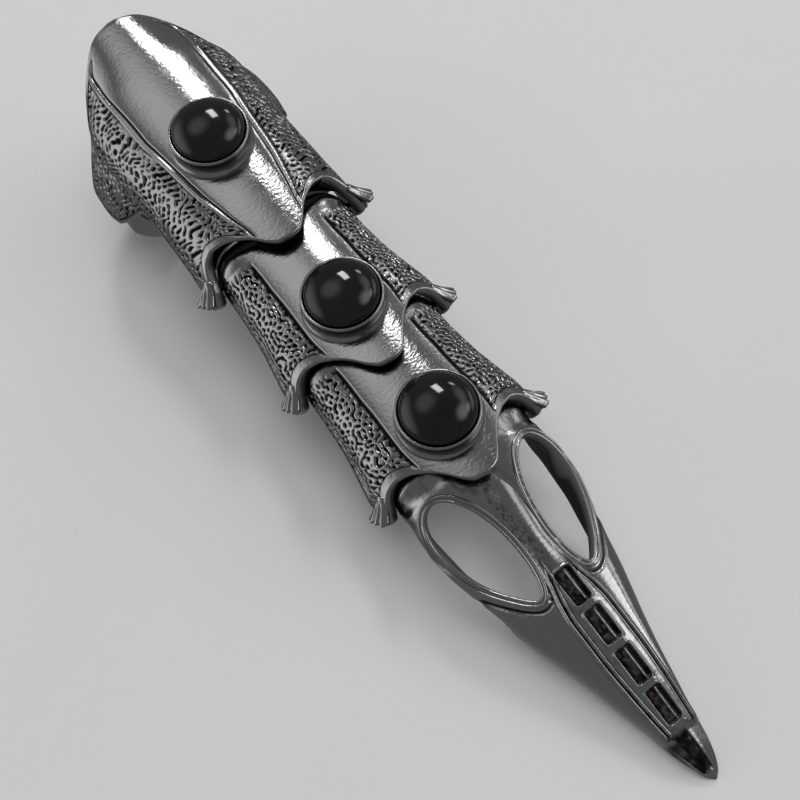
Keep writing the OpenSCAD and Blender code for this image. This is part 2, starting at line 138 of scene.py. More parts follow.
def gunmetal():
    """Metal darkened and dulled by patina and painted shade, with cloudy polish and a fine ripple."""
    made, nodes, links, shader = new_material("gunmetal", (0.25, 0.25, 0.26))
    shader.inputs["Metallic"].default_value = 1.0
    patina_and_shade = nodes.new("ShaderNodeAttribute")
    patina_and_shade.attribute_name = "patina_and_shade"
    colour = ramp_node(nodes, links, patina_and_shade.outputs["Fac"],
                       [(0.0, (0.42, 0.416, 0.416)), (0.4, (0.24, 0.234, 0.225)),
                        (0.75, (0.03, 0.028, 0.026)), (1.0, (0.008, 0.0075, 0.007))])
    links.new(colour.outputs["Color"], shader.inputs["Base Color"])
    worn = noise_node(nodes, links, 0.35, 5, (1, 1.6, 1.6))
    polish = ramp_node(nodes, links, worn.outputs["Fac"], [(0.3, 0.1), (0.7, 0.18)])
    dull = nodes.new("ShaderNodeMath")
    dull.operation = "MULTIPLY_ADD"
    links.new(patina_and_shade.outputs["Fac"], dull.inputs[0])
    dull.inputs[1].default_value = 0.3
    links.new(polish.outputs["Color"], dull.inputs[2])
    links.new(dull.outputs[0], shader.inputs["Roughness"])
    ripple = noise_node(nodes, links, 2.6, 5, (1.2, 0.8, 0.9))
    bump = nodes.new("ShaderNodeBump")
    bump.inputs["Strength"].default_value = 0.34
    bump.inputs["Distance"].default_value = 0.08 * MM
    links.new(ripple.outputs["Fac"], bump.inputs["Height"])
    links.new(bump.outputs["Normal"], shader.inputs["Normal"])
    return made


GUNMETAL = gunmetal()
print("gunmetal:", len(GUNMETAL.node_tree.nodes), "nodes")

# %% [markdown]
# ## Black stones
# The stones are domed onyx or black glass: opaque, nearly colourless, and so well polished that only
# the room shows in them. A very dark base under a smooth clear surface does that. A faint cloud in the
# colour keeps them from being a hole in the picture.

# %% Black stone


def black_stone():
    """Nearly black, clear and smooth, with a faint cloud in colour and polish."""
    made, nodes, links, shader = new_material("black_stone", (0.03, 0.03, 0.035))
    cloud_wave = noise_node(nodes, links, 0.25, 4)
    colour = ramp_node(nodes, links, cloud_wave.outputs["Fac"],
                       [(0.35, (0.003, 0.003, 0.0035)), (0.75, (0.009, 0.009, 0.0105))])
    links.new(colour.outputs["Color"], shader.inputs["Base Color"])
    faint = ramp_node(nodes, links, cloud_wave.outputs["Fac"], [(0.3, 0.07), (0.8, 0.1)])
    links.new(faint.outputs["Color"], shader.inputs["Roughness"])
    shader.inputs["IOR"].default_value = 1.56
    return made


BLACK_STONE = black_stone()
print("black stone:", len(BLACK_STONE.node_tree.nodes), "nodes")

# %% [markdown]
# ## Curves and clouds
# A cast shape is easiest to give as a table of a few rows. It is read along a smooth curve that
# doesn't overshoot, as a spline would between close rows. Steps and hills place the fine relief along
# such a shape, and a cloud of random numbers, blended between lattice points, makes it look hand-cut.
# Each cloud has a seed of its own, so that every run gives the same ring.

# %% Smooth tables and random fields
LATTICE = 64


def smooth(table, u, column):
    """Column of a table at u, along a curve through its rows with no overshoot."""
    xs = np.array([row[0] for row in table], float)
    ys = np.array([row[column] for row in table], float)
    h = np.diff(xs)
    d = np.diff(ys) / h
    slope = np.zeros(len(xs))
    slope[0], slope[-1] = d[0], d[-1]
    for i in range(1, len(xs) - 1):
        if d[i - 1] * d[i] > 0:
            a, b = 2 * h[i] + h[i - 1], h[i] + 2 * h[i - 1]
            slope[i] = (a + b) / (a / d[i - 1] + b / d[i])
    u = np.clip(u, xs[0], xs[-1])
    i = np.clip(np.searchsorted(xs, u) - 1, 0, len(h) - 1)
    t = (u - xs[i]) / h[i]
    return ((1 + 2 * t) * (1 - t) ** 2 * ys[i] + t * (1 - t) ** 2 * h[i] * slope[i]
            + t * t * (3 - 2 * t) * ys[i + 1] + t * t * (t - 1) * h[i] * slope[i + 1])


def step(low, high, x):
    """0 at low, 1 at high, with a soft start and end."""
    t = np.clip((x - low) / (high - low), 0, 1)
    return t * t * (3 - 2 * t)


def hill(x, middle, width):
    """1 at the middle, fading to both sides."""
    return np.exp(-((x - middle) / width) ** 2)


def cloud(a, b, seed):
    """Smooth random field from -1 to 1 with about one wave per unit."""
    lattice = np.random.default_rng(seed).uniform(-1, 1, (LATTICE, LATTICE))
    ia, ib = np.floor(a).astype(int), np.floor(b).astype(int)
    fa, fb = a - ia, b - ib
    fa, fb = fa * fa * (3 - 2 * fa), fb * fb * (3 - 2 * fb)
    corner = lambda i, j: lattice[(ia + i) % LATTICE, (ib + j) % LATTICE]
    near = corner(0, 0) * (1 - fa) + corner(1, 0) * fa
    far = corner(0, 1) * (1 - fa) + corner(1, 1) * fa
    return near * (1 - fb) + far * fb


# %% [markdown]
# ## From points to a piece
# Every piece starts as points and faces in plain numbers and becomes a mesh in one place. That place
# drops points that no face uses, turns all faces outwards, which the sign of the closed volume tells,
# stores the patina and painted shade on the points and declares which body of the frame the piece
# rides on.

# %% New pieces


def face_outwards(mesh):
    """Turns all faces of a closed mesh round if they look inwards, which its signed volume tells."""
    solid = bmesh.new()
    solid.from_mesh(mesh)
    if solid.calc_volume(signed=True) < 0:
        mesh.flip_normals()
    solid.free()


def new_piece(name, points, faces, body, material, patina_and_shade=None):
    """Mesh object from points in mm along the finger, riding on a body."""
    faces = [list(face) for face in faces]
    used = np.unique(np.concatenate(faces))
    new_number = np.zeros(len(points), int)
    new_number[used] = np.arange(len(used))
    points = np.asarray(points, float)[used]
    mesh = bpy.data.meshes.new(name)
    mesh.from_pydata(laid(points).tolist(), [], [new_number[face].tolist() for face in faces])
    mesh.validate()
    face_outwards(mesh)
    mesh.shade_smooth()
    mesh.materials.append(material)
    if patina_and_shade is not None:
        stored = mesh.attributes.new("patina_and_shade", "FLOAT", "POINT")
        stored.data.foreach_set("value", np.asarray(patina_and_shade, float)[used])
    piece = bpy.data.objects.new(name, mesh)
    bpy.context.scene.collection.objects.link(piece)
    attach(piece, body)
    print(name, len(mesh.polygons), "faces")
    return piece


# %% [markdown]
# ## The closed sheet
# A cast plate is a curved sheet with a thickness and a rounded edge. It is built as two grids of points,
# an outer and an inner one, joined round the edge by a half-round. A solidify modifier would give one
# thickness everywhere, but here the inner grid can be shaped by itself. The inside has no relief, so it
# gets larger faces. The patina runs on over the edge, and the edge's lower half and the inside are
# darkened as painted shade, since shade falls under the rim and inside the plate.

# %% Sheet with thickness and a half-round edge
# Painted shade: the insides of the sheets and the lower half of their rounded edges are darkened.
INSIDE_PAINTED_SHADE = 0.75
EDGE_PATINA, EDGE_UNDER_PAINTED_SHADE = 0.08, 0.62


def unit(v):
    """Vectors brought to length 1."""
    return v / (np.linalg.norm(v, axis=-1, keepdims=True) + 1e-9)


def normals(grid):
    """Direction away from a grid's surface at each of its points."""
    return unit(np.cross(np.gradient(grid, axis=0), np.gradient(grid, axis=1)))


def grid_faces(m, n):
    """Faces of a grid of m rows and n columns."""
    i, j = np.meshgrid(np.arange(m - 1), np.arange(n - 1), indexing="ij")
    a = (i * n + j).ravel()
    return np.stack([a, a + 1, a + n + 1, a + n], 1)


def coarse_faces(m, n, start, skip):
    """Faces over every skip-th point of a grid that still use all the points of its border."""
    rows, cols = [*range(0, m - 1, skip), m - 1], [*range(0, n - 1, skip), n - 1]
    faces = []
    for i, k in zip(rows, rows[1:]):
        for j, l in zip(cols, cols[1:]):
            loop = [i * n + c for c in (range(j, l) if i == 0 else [j])]
            loop += [r * n + l for r in (range(i, k) if l == n - 1 else [i])]
            loop += [k * n + c for c in (range(l, j, -1) if k == m - 1 else [l])]
            loop += [r * n + j for r in (range(k, i, -1) if j == 0 else [k])]
            faces.append([start + point for point in loop])
    return faces


def closed_sheet(outer, inner, patina_and_shade, bulge, steps=5, skip=1):
    """Points, faces and patina_and_shade of a sheet with thickness and a half-round edge; the inside and
    the edge's lower half get painted shade.
    """
    m, n = outer.shape[:2]
    k = m * n
    edge = ([i * n for i in range(m)] + [(m - 1) * n + j for j in range(1, n)]
            + [i * n + n - 1 for i in range(m - 2, -1, -1)] + [j for j in range(n - 2, 0, -1)])
    out = np.zeros_like(outer)
    out[0] += unit(outer[0] - outer[1])
    out[-1] += unit(outer[-1] - outer[-2])
    out[:, 0] += unit(outer[:, 0] - outer[:, 1])
    out[:, -1] += unit(outer[:, -1] - outer[:, -2])
    top, low = outer.reshape(-1, 3)[edge], inner.reshape(-1, 3)[edge]
    across = unit(top - low)
    away = out.reshape(-1, 3)[edge]
    away = unit(away - (away * across).sum(1, keepdims=True) * across)
    rings = [(top + low) / 2 + (top - low) / 2 * math.cos(math.pi * r / steps)
             + away * bulge * math.sin(math.pi * r / steps) for r in range(1, steps)]
    points = np.concatenate([outer.reshape(-1, 3), inner.reshape(-1, 3)] + rings)
    count, edge = len(edge), np.array(edge)
    loops = [edge] + [2 * k + r * count + np.arange(count) for r in range(steps - 1)] + [edge + k]
    faces = grid_faces(m, n).tolist() + [face[::-1] for face in coarse_faces(m, n, k, skip)]
    for one, two in zip(loops[:-1], loops[1:]):
        faces += np.stack([one, np.roll(one, -1), np.roll(two, -1), two], 1).tolist()
    # Painted shade: the edge's lower rings darken towards the inside, and the whole inside is darkened.
    rim = [np.maximum(patina_and_shade.ravel()[edge], EDGE_PATINA + EDGE_UNDER_PAINTED_SHADE * step(0.3, 0.7, r / steps))
           for r in range(1, steps)]
    dark = np.concatenate([patina_and_shade.ravel(), np.full(k, INSIDE_PAINTED_SHADE)] + rim)
    return points, faces, dark


# %% [markdown]
# ## The two grains
# The long guard's panels carry short bent strokes, like lizard skin, and the short guards' a worm-eaten
# grain. Both are real relief in the mesh. Adding some dozens of waves of one length and random
# directions gives worms of even width; if the directions keep close to the finger's line, the worms
# become strokes across it. Warping the place before it is read makes the pattern look cut by hand.

# %% Strokes and worms
WAVES = 36


def carving(a, b, wave, spread, seed, fuller=0.0):
    """Height from 0 to 1 of flat worms with thin broken gaps; a along and b across the panel, in mm.

    wave is the distance from one worm to the next, spread how far the waves may turn from the finger's
    line, in degrees, and fuller narrows the gaps.
    """
    chance = np.random.default_rng(seed)
    a, b = (a + 0.3 * cloud(a / 1.6, b / 1.6, seed + 1) + 0.12 * cloud(a / 0.6 + 4, b / 0.6, seed + 2),
            b + 0.3 * cloud(a / 1.5 + 9, b / 1.5, seed + 3))
    field = np.zeros_like(a)
    for _ in range(WAVES):
        way = math.radians(chance.uniform(-spread, spread))
        turns = 2 * math.pi / (wave * chance.uniform(0.88, 1.12))
        field += np.cos(turns * (a * math.cos(way) + b * math.sin(way)) + chance.uniform(0, 2 * math.pi))
    bridges = 0.6 * cloud(a / 0.55, b / 0.55, seed + 4)
    return step(-1.1, -0.2, field / math.sqrt(WAVES / 2) + bridges + fuller)


def strokes(a, b):
    return carving(a + 0.5 * cloud(a / 2.4, b / 1.7, 7), b, wave=0.78, spread=50, seed=3, fuller=0.2)


def worms(a, b):
    return carving(a, b, wave=0.7, spread=90, seed=11)


sample = np.meshgrid(np.linspace(0, 10, 200), np.linspace(0, 10, 200))
print("share left standing:", [round(float(grain(*sample).mean()), 2) for grain in (strokes, worms)])


# %% [markdown]
# ## A guard's surface
# Each guard is an arch over the finger: half an ellipse above the hinge line and a straight skirt below
# it, wide lobes over the band, and a scalloped front that runs out into a tongue. A section is given by
# its half width, its crest, and two angles from the top: where the groove runs and where the plate
# ends. The scallop is a table too: how far forward the rim reaches at each angle.

# %% Section and scallop of a guard
SKIRT, SKIRT_TURN = SIDE_HALF * math.pi / 180, 36
EAR_REACH = 1.44
SCALLOP = [(0, 1), (7, 0.965), (13, 0.8), (19, 0.53), (25, 0.33), (31, 0.19), (38, 0.07), (48, 0)]
SIDE_POINT = [(48, 0), (57, 0.1), (68, 0.42), (78, 0.8), (88, 1), (96, 0.9), (104, 0.4)]
ROLL, EDGE_BACK = 0.3, 1.2


def arch(x, half, top, angle, flare):
    """Points of the section at x: half an ellipse over the hinge line, a skirt with a flare below it."""
    t = np.minimum(np.abs(angle), 90)
    below = np.maximum(np.abs(angle) - 90, 0)
    t, turn = np.radians(t), np.radians(np.minimum(below / SKIRT_TURN, 1) * 90)
    y = np.sign(angle) * (half * np.sin(t) + flare * np.sin(turn))
    z = HINGE_RISE + (top - HINGE_RISE) * np.cos(t) - below * SKIRT
    return np.stack([x + 0 * y, y, z], -1)


def front_edge(angle, tip, back):
    """How far the rim stands before the hinge: the tongue's tip, the notch behind it, the side point."""
    t = np.abs(angle)
    near = -back + (tip + back) * smooth(SCALLOP, t, 1)
    far = -back + (EAR_REACH + back) * smooth(SIDE_POINT, t, 1)
    return np.where(t < SIDE_POINT[0][0], near, far) - ROLL


def columns(middle, groove, panel, border):
    """Places across a guard from its middle outwards, mirrored: 0 to 1 to the groove, 1 to 2 to the edge.

    The four counts say how finely the back, the groove, the panel and the border are divided.
    """
    half = np.concatenate([np.linspace(0, 0.94, middle)[:-1], np.linspace(0.94, 1.1, groove)[:-1],
                           np.linspace(1.1, 1.9, panel)[:-1], np.linspace(1.9, 2, border)])
    return np.concatenate([-half[:0:-1], half])


def section_angles(places, groove, edge):
    """Angles from the top of all places, for each row's groove and edge."""
    c = np.abs(places)[None, :]
    return np.sign(places)[None, :] * (groove[:, None] * np.minimum(c, 1)
                                       + (edge - groove)[:, None] * np.maximum(c - 1, 0))


places = columns(3, 2, 3, 2)
print("a coarse section:", section_angles(places, np.array([34.0]), np.array([98.0]))[0].round())

# %% [markdown]
# ## Relief of a guard
# The groove, the raised line beside it, the sunk panel and the plain border follow the plate's own
# edges, so they are placed by distances measured along the surface. The relief is then one height over
# the plain surface, and the patina comes out of the same numbers, so that it fits every groove. The
# real rims are filed thin towards the scallop, and the inner surface follows them.

# %% Distances, relief and thin rims
SUNK, GRAIN_RISE, GROOVE_DEPTH, LINE_RISE = 0.22, 0.26, 0.28, 0.1
CORNER_R = 0.9
THICK_SIDE, THIN_TOP = 9.2, 7.4


def distances(grid, places):
    """Along the surface, in mm: from the groove outwards, from the side edge and from the front rim."""
    across = np.linalg.norm(np.diff(grid, axis=1), axis=2)
    s = np.concatenate([np.zeros((len(grid), 1)), np.cumsum(across, 1)], 1)
    middle = len(places) // 2
    s = np.abs(s - s[:, middle:middle + 1])
    at_groove = np.argmin(np.abs(places - 1))
    from_groove = s - s[:, at_groove:at_groove + 1]
    along = np.linalg.norm(np.diff(grid, axis=0), axis=2)
    x = np.concatenate([np.zeros((1, grid.shape[1])), np.cumsum(along, 0)], 0)
    return from_groove, s[:, -1:] - s, x[-1:] - x


def filed_thin(outer, inner, places, least, reach):
    """Inner grid brought nearer the outer one at the scallop's rim, down to the least share of the wall.

    The sides keep their full wall, because the rivets and the rib stand behind them.
    """
    near = step(reach, 0, distances(outer, places)[2]) * step(THICK_SIDE, THIN_TOP, np.abs(outer[..., 1]))
    return inner + (outer - inner) * ((1 - least) * near)[..., None]


def guard_relief(outer, places, grain, begins, wire, rim_band, side_band):
    """Height over the plain surface and patina: groove, raised line and sunk grained panel.

    The panel begins at x = begins; wire, rim_band and side_band are the plain widths that it keeps from
    the groove, the scalloped rim and the side's edge.
    """
    groove, side, front = distances(outer, places)
    x, y = outer[..., 0], outer[..., 1]
    begun = step(begins, begins + 1.2, x)
    rim = front - rim_band * (0.4 + 0.6 * step(4.0, 6.3, np.abs(y)))
    inside = CORNER_R - np.hypot(np.maximum(CORNER_R - (groove - wire), 0), np.maximum(CORNER_R - rim, 0))
    inside = np.minimum(inside, side - side_band)
    panel = begun * step(0, 0.25, inside)
    carved = grain(x, groove)
    cut = begun * hill(groove, 0, 0.13) * step(-0.1, 0.3, rim)
    height = panel * (-SUNK + GRAIN_RISE * (carved - 0.5)) - GROOVE_DEPTH * cut
    if wire > 0.5:
        height += LINE_RISE * begun * hill(groove, 0.4, 0.15) * step(-0.2, 0.2, rim)
    dark = panel * (0.08 + 0.92 * step(0.75, 0.15, carved)) + 0.95 * cut
    dark += 0.8 * begun * hill(inside, 0.1, 0.14) * step(0, 0.2, groove)
    return height, np.clip(dark, 0, 1)


# %% [markdown]
# ## The long base guard
# The real guard covers the base of the finger: a polished back, a fine groove with a raised line beside
# it on each side, and grained panels that start as a point and widen over the band. A plain border runs
# round the panels, and the tongue has none: its back runs out to the edge. The table's rows give the
# share of the length, then half width, flare, crest, edge angle, groove angle and wall.

# %% Base guard tables
BASE_TONGUE, BASE_NOTCH = 2.0, 2.9
BASE_ROWS = [
    (0.000, 0.66, 0, 0.94, 5, 3, 0.8), (0.012, 0.68, 0, 0.945, 22, 16, 0.9),
    (0.040, 0.70, 0, 0.95, 36, 28, 1), (0.085, 0.74, 0, 0.957, 50, 40, 1),
    (0.125, 0.78, 0, 0.963, 62, 45, 1), (0.170, 0.83, 0, 0.97, 76, 43, 1),
    (0.215, 0.90, 0.3, 0.975, 92, 40, 1.3), (0.260, 0.96, 0.7, 0.98, 110, 37, 1.9),
    (0.320, 0.99, 1, 0.985, 126, 35, 2.4), (0.390, 1, 1, 0.99, 131, 34, 2.5),
    (0.460, 1, 0.9, 0.995, 127, 34, 2.4), (0.520, 0.99, 0.5, 1, 113, 33, 1.9),
    (0.570, 0.98, 0.1, 1, 99, 32, 1.3), (0.620, 0.975, 0, 1, 94, 31, 1),
    (0.700, 0.98, 0, 1, 93, 29, 1)]
BASE_FRONT_ROWS = [
    (0.25, 0.985, 0, 1, 94, 27, 1), (0.5, 0.99, 0, 1, 97, 24, 1), (0.72, 1, 0, 1, 100, 21, 1),
    (0.88, 1, 0, 1, 102, 18, 1), (1, 1, 0, 1, 104, 17, 1)]
MAIN_SHARE = BASE_ROWS[-1][0]
BASE_TABLE = [(row[0] / MAIN_SHARE, *row[1:]) for row in BASE_ROWS]
BASE_TABLE += [(1 + row[0], *row[1:]) for row in BASE_FRONT_ROWS]
BASE_LENGTH = BASE_BACK + BASE_FRONT
BORE_FRONT = 0.35 * BASE_FRONT
print("base guard:", len(BASE_TABLE), "rows over", round(BASE_LENGTH, 1), "mm and its tongue")

# %% Base guard plate
BACK_SHARE, SCALLOP_SHARE = 0.06, 1.35


def base_grids(count, places):
    """Outer and inner grid of the base guard, with finer rows at the back edge and along the scallop."""
    u = np.concatenate([(BACK_SHARE * np.linspace(0, 1, count // 9) ** 1.5)[:-1],
                        np.linspace(BACK_SHARE, SCALLOP_SHARE, count - 2 * (count // 9)),
                        np.linspace(SCALLOP_SHARE, 2, count // 5)[1:]])
    half, flare, top, edge, groove, wall = (smooth(BASE_TABLE, u, c) for c in range(1, 7))
    angle = section_angles(places, groove, edge - EDGE_BACK)
    start = -BASE_BACK + BASE_LENGTH * MAIN_SHARE
    rim = BASE_FRONT + front_edge(angle, BASE_TONGUE, BASE_NOTCH)
    back = -BASE_BACK + ROLL
    main = (back + (start - back) * np.minimum(u, 1))[:, None]
    x = main + np.maximum(u - 1, 0)[:, None] * (rim - start)
    outer = arch(x, SIDE_HALF * half[:, None], CREST * top[:, None], angle, LOBE_FLARE * flare[:, None])
    thick = WALL * wall[:, None]
    inner = arch(x, SIDE_HALF * half[:, None] - thick, CREST * top[:, None] - thick, angle, 0)
    radius = np.hypot(inner[..., 1], inner[..., 2])
    in_bore = (x < BORE_FRONT) & (radius < FINGER_R)
    inner[..., 1:] *= np.where(in_bore, FINGER_R / np.maximum(radius, 1e-6), 1)[..., None]
    return outer, inner


base_places = columns(12, 9, 92, 5)
base_outer, base_inner = base_grids(315, base_places)
base_inner = filed_thin(base_outer, base_inner, base_places, least=0.6, reach=1.5)
relief, base_patina = guard_relief(base_outer, base_places, strokes, begins=-10.6, wire=0.72,
                                   rim_band=0.75, side_band=0.7)
base_outer = base_outer + normals(base_outer) * relief[..., None]
points, faces, dark = closed_sheet(base_outer, base_inner, base_patina, ROLL, skip=3)
base_plate = new_piece("base_plate", points, faces, "base", GUNMETAL, dark)
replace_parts(base_plate, "base_guard")

# %% [markdown]
# ## The stop rib
# Inside the long guard, where the next one begins, a low rib runs over the arch. The next guard's near
# end stops short of it when the finger is straight, and it closes the gap under the notches, so that no
# light comes through there. It is one more closed sheet between the guard's inside and a circle round
# the finger. Its back is flat, and its front is a seat round the next guard's near end, whose sides
# swell a little: it keeps the same small gap wherever that end turns.

# %% Stop rib
RIB_FROM, RIB_FRONT_MOST, RIB_TOP_FRONT, RIB_INSIDE, RIB_CLEAR = 15.7, 19.4, 21, 8.1, 0.25
RIB_HALF, RIB_RISE, RIB_END = 9.7, 6.0, 86
SWELL, END_SWELL = 0.7, 0.25


def swelling(angle):
    """Share of the swell at an angle across the near end."""
    return step(20, 50, np.abs(angle)) * step(85, 60, np.abs(angle))


def rib_front(y, z, angle):
    """Front face of the rib: a seat round the next guard's near end, clear of it as that one turns."""
    across = np.degrees(np.arcsin(np.clip(y / NESTED_HALF, -1, 1)))
    turning = (NESTED_CREST - HINGE_RISE) * np.cos(np.radians(across))
    turning = turning + SWELL * swelling(across) + RIB_CLEAR
    seat = BASE_FRONT - np.sqrt(np.maximum(turning ** 2 - (z - HINGE_RISE) ** 2, 0))
    rim = BASE_FRONT + front_edge(angle, BASE_TONGUE, BASE_NOTCH) - 0.5
    rim = np.clip(rim, RIB_FRONT_MOST, RIB_TOP_FRONT)
    return np.minimum(seat, RIB_FRONT_MOST + (rim - RIB_FRONT_MOST) * step(6.3, 7.3, z))


def rib_grids():
    """Front and back grid of the rib, from the circle inside it out to an arch in the guard."""
    angle = np.linspace(-RIB_END, RIB_END, 121)[None, :]
    far_y, far_z = RIB_HALF * np.sin(np.radians(angle)), HINGE_RISE + RIB_RISE * np.cos(np.radians(angle))
    far = np.hypot(far_y, far_z)
    reach = (RIB_INSIDE + (far - RIB_INSIDE) * np.linspace(0, 1, 7)[:, None]) / far
    y, z = reach * far_y, reach * far_z
    return (np.stack([rib_front(y, z, angle + 0 * y), y, z], -1), np.stack([RIB_FROM + 0 * y, y, z], -1))


rib_outer, rib_inner = rib_grids()
# Painted shade: the rib lies inside the guard, so it is darkened all over.
points, faces, dark = closed_sheet(rib_outer, rib_inner, np.full(rib_outer.shape[:2], 0.6), 0.12)
new_piece("stop_rib", points, faces, "base", GUNMETAL, dark)

# %% [markdown]
# ## The short guards
# Both short guards are nearly one casting used twice: a nested near end that turns inside the plate
# behind it, and a front that flares out over the next one. The near end is round about the hinge, so it
# never rubs, and its sides swell to fill the notches of the plate behind, more on the guard that has the
# long one behind it. One function makes both. The rows give the share of the length, then the share of
# the flare and the angles of edge and groove.

# %% Short guard tables
NOTCH = 1.0
GUARD_ROWS = [
    (0.00, 0, 90, 34), (0.07, 0, 95, 34), (0.16, 0, 99, 34), (0.30, 0.1, 100, 34), (0.44, 0.25, 99, 33)]
GUARD_FRONT_ROWS = [
    (0.25, 0.5, 98, 32), (0.5, 0.8, 98, 31), (0.72, 1, 100, 30), (0.88, 1, 102, 29), (1, 1, 104, 28)]
GUARD_MAIN = GUARD_ROWS[-1][0]
GUARD_TABLE = [(row[0] / GUARD_MAIN, *row[1:]) for row in GUARD_ROWS]
GUARD_TABLE += [(1 + row[0], *row[1:]) for row in GUARD_FRONT_ROWS]
TUCK, TUCK_RINGS = 74, 14
TUCK_GROOVE, TUCK_EDGE = 34.0, 85.0
print("short guards:", len(GUARD_TABLE), "rows and", TUCK_RINGS, "rings in the tuck")

# %% Short guard plates


def guard_top(x):
    """Crest of a short guard's plate at x."""
    return NESTED_CREST + PLATE_SLOPE * x


def tucked(half, top, angle, back, swell=0.0):
    """Ring of the round near end, turned back about the hinge, with its sides let out a little."""
    r = (top - HINGE_RISE) * np.cos(np.radians(angle))
    r = r + swell * math.sin(back) * swelling(angle)
    y = half * np.sin(np.radians(angle))
    return np.stack([-r * math.sin(back), y, HINGE_RISE + r * math.cos(back)], -1)


def guard_grids(count, places, swell):
    """Outer and inner grid of a short guard, from its tucked near end to the scallop."""
    u = np.linspace(0, 2, count)
    share, edge, groove = (smooth(GUARD_TABLE, u, c) for c in range(1, 4))
    angle = section_angles(places, groove, edge - EDGE_BACK)
    start = PITCH * GUARD_MAIN
    rim = PITCH + front_edge(angle, TONGUE, NOTCH)
    x = start * np.minimum(u, 1)[:, None] + np.maximum(u - 1, 0)[:, None] * (rim - start)
    half = (NESTED_HALF + (SIDE_HALF - NESTED_HALF) * share)[:, None]
    outer = arch(x, half, guard_top(x), angle, 0)
    inner = arch(x, half - WALL, guard_top(x) - WALL, angle, 0)
    tuck_angle = section_angles(places, np.array([TUCK_GROOVE]), np.array([TUCK_EDGE]))[0]
    backs = [math.radians(TUCK * (1 - i / TUCK_RINGS)) for i in range(TUCK_RINGS)]
    outer_tuck = np.array([tucked(NESTED_HALF, NESTED_CREST, tuck_angle, b, swell) for b in backs])
    inner_tuck = np.array([tucked(NESTED_HALF - WALL, NESTED_CREST - WALL, tuck_angle, b) for b in backs])
    return np.concatenate([outer_tuck, outer]), np.concatenate([inner_tuck, inner])


guard_places = columns(10, 8, 72, 5)


def short_guard(name, body, hinge, node, swell):
    """One short guard on its hinge; the place of the hinge shifts the worms, so that the two differ."""
    outer, inner = guard_grids(200, guard_places, swell)
    inner = filed_thin(outer, inner, guard_places, least=0.55, reach=2.0)
    grain = lambda a, b: worms(a + hinge, b + 0.3 * hinge)
    relief, patina_and_shade = guard_relief(outer, guard_places, grain, begins=0.2, wire=0.12,
                                  rim_band=0.95, side_band=0.8)
    # Painted shade: the first rings of the tucked near end, which lie under the plate behind, are
    # darkened.
    patina_and_shade = np.maximum(patina_and_shade, 0.95 * step(9, 3, np.arange(len(outer)))[:, None])
    outer = outer + normals(outer) * relief[..., None]
    points, faces, dark = closed_sheet(outer, inner, patina_and_shade, ROLL, skip=3)
    points[:, 0] += hinge
    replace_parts(new_piece(name, points, faces, body, GUNMETAL, dark), node)


short_guard("middle_plate", "middle", HINGES[0], "middle_guard", SWELL)
short_guard("end_plate", "end", HINGES[1], "end_guard", END_SWELL)

# %% [markdown]
# ## Fluted tails
# Where a guard's rim meets the side it runs out over the rivet into a small fluted tail, like a fish's.
# It is a fan of three flutes that widens and lifts off the side a little, built as a grid along its own
# three directions: along the tail, across it and up from the side.

# %% Tails
TAIL_LENGTH, TAIL_WALL, FLUTES = 2.75, 0.55, 3
TAIL_BEHIND, TAIL_SIDE, TAIL_RISE, BASE_TAIL_OUT = 1.2, 9.95, 2.35, 0.3


def tail(side, hinge):
    """Outer and inner grid of the tail at one end of a guard's rim, and the patina between its flutes."""
    up = unit(np.array([-0.12, 0.72 * side, 0.69]))
    along = np.array([0.62, 0.42 * side, -0.66])
    along = unit(along - (along @ up) * up)
    across = np.cross(up, along) * side
    t, v = np.linspace(0, 1, 26)[:, None], np.linspace(-1, 1, 33)[None, :]
    half = 0.55 + 0.65 * t ** 1.5
    ridges = np.cos(FLUTES * math.pi * v)
    run = TAIL_LENGTH * t + 0.12 * t ** 3 * ridges
    flutes = 0.08 * step(0.05, 0.6, t) * (ridges - 1)
    lift = 0.25 * t ** 2 + flutes - 0.25 * v ** 2
    out = TAIL_SIDE + BASE_TAIL_OUT * (hinge == BASE_FRONT)
    start = np.array([hinge - TAIL_BEHIND, out * side, HINGE_RISE + TAIL_RISE])
    outer = start + run[..., None] * along + (half * v)[..., None] * across + lift[..., None] * up
    dark = 0.5 * step(0.1, 0.5, t) * hill(np.abs(v), 0.34, 0.08)
    return outer, outer - TAIL_WALL * up, dark


for body, hinge in zip(("base", "middle", "end"), HINGES):
    for side, hand in ((-1, "left"), (1, "right")):
        outer, inner, dark = tail(side, hinge)
        points, faces, dark = closed_sheet(outer, inner, dark, 0.2)
        new_piece("%s_%s_tail" % (body, hand), points, faces, body, GUNMETAL, dark)

# %% [markdown]
# ## Lathe work: bezels, stones and rivets
# A bezel is a flared collar, burnished over the stone's girdle until its crest is a thin bright line.
# Stones and rivets are round too. All of them are profiles spun about an axis, which gives clean rings
# of faces and exact roundness; the seat then tilts with the plate's slope.

# %% Spun pieces
SPUN_STEPS, PIN_STEPS = 96, 48


def spun(profile, count=SPUN_STEPS):
    """Points and faces of a profile of (radius, height), spun about Z; it starts and ends on the axis."""
    turn = np.linspace(0, 2 * math.pi, count, endpoint=False)
    rings = [p for p in profile if p[0] > 1e-6]
    points = [[0, 0, profile[0][1]]]
    points += [[r * math.cos(a), r * math.sin(a), h] for r, h in rings for a in turn]
    points.append([0, 0, profile[-1][1]])
    faces = []
    for i in range(count):
        j = (i + 1) % count
        faces.append([0, 1 + j, 1 + i])
        for k in range(len(rings) - 1):
            a, b = 1 + k * count, 1 + (k + 1) * count
            faces.append([a + i, a + j, b + j, b + i])
        last = 1 + (len(rings) - 1) * count
        faces.append([last + i, last + j, len(points) - 1])
    return np.array(points, float), faces


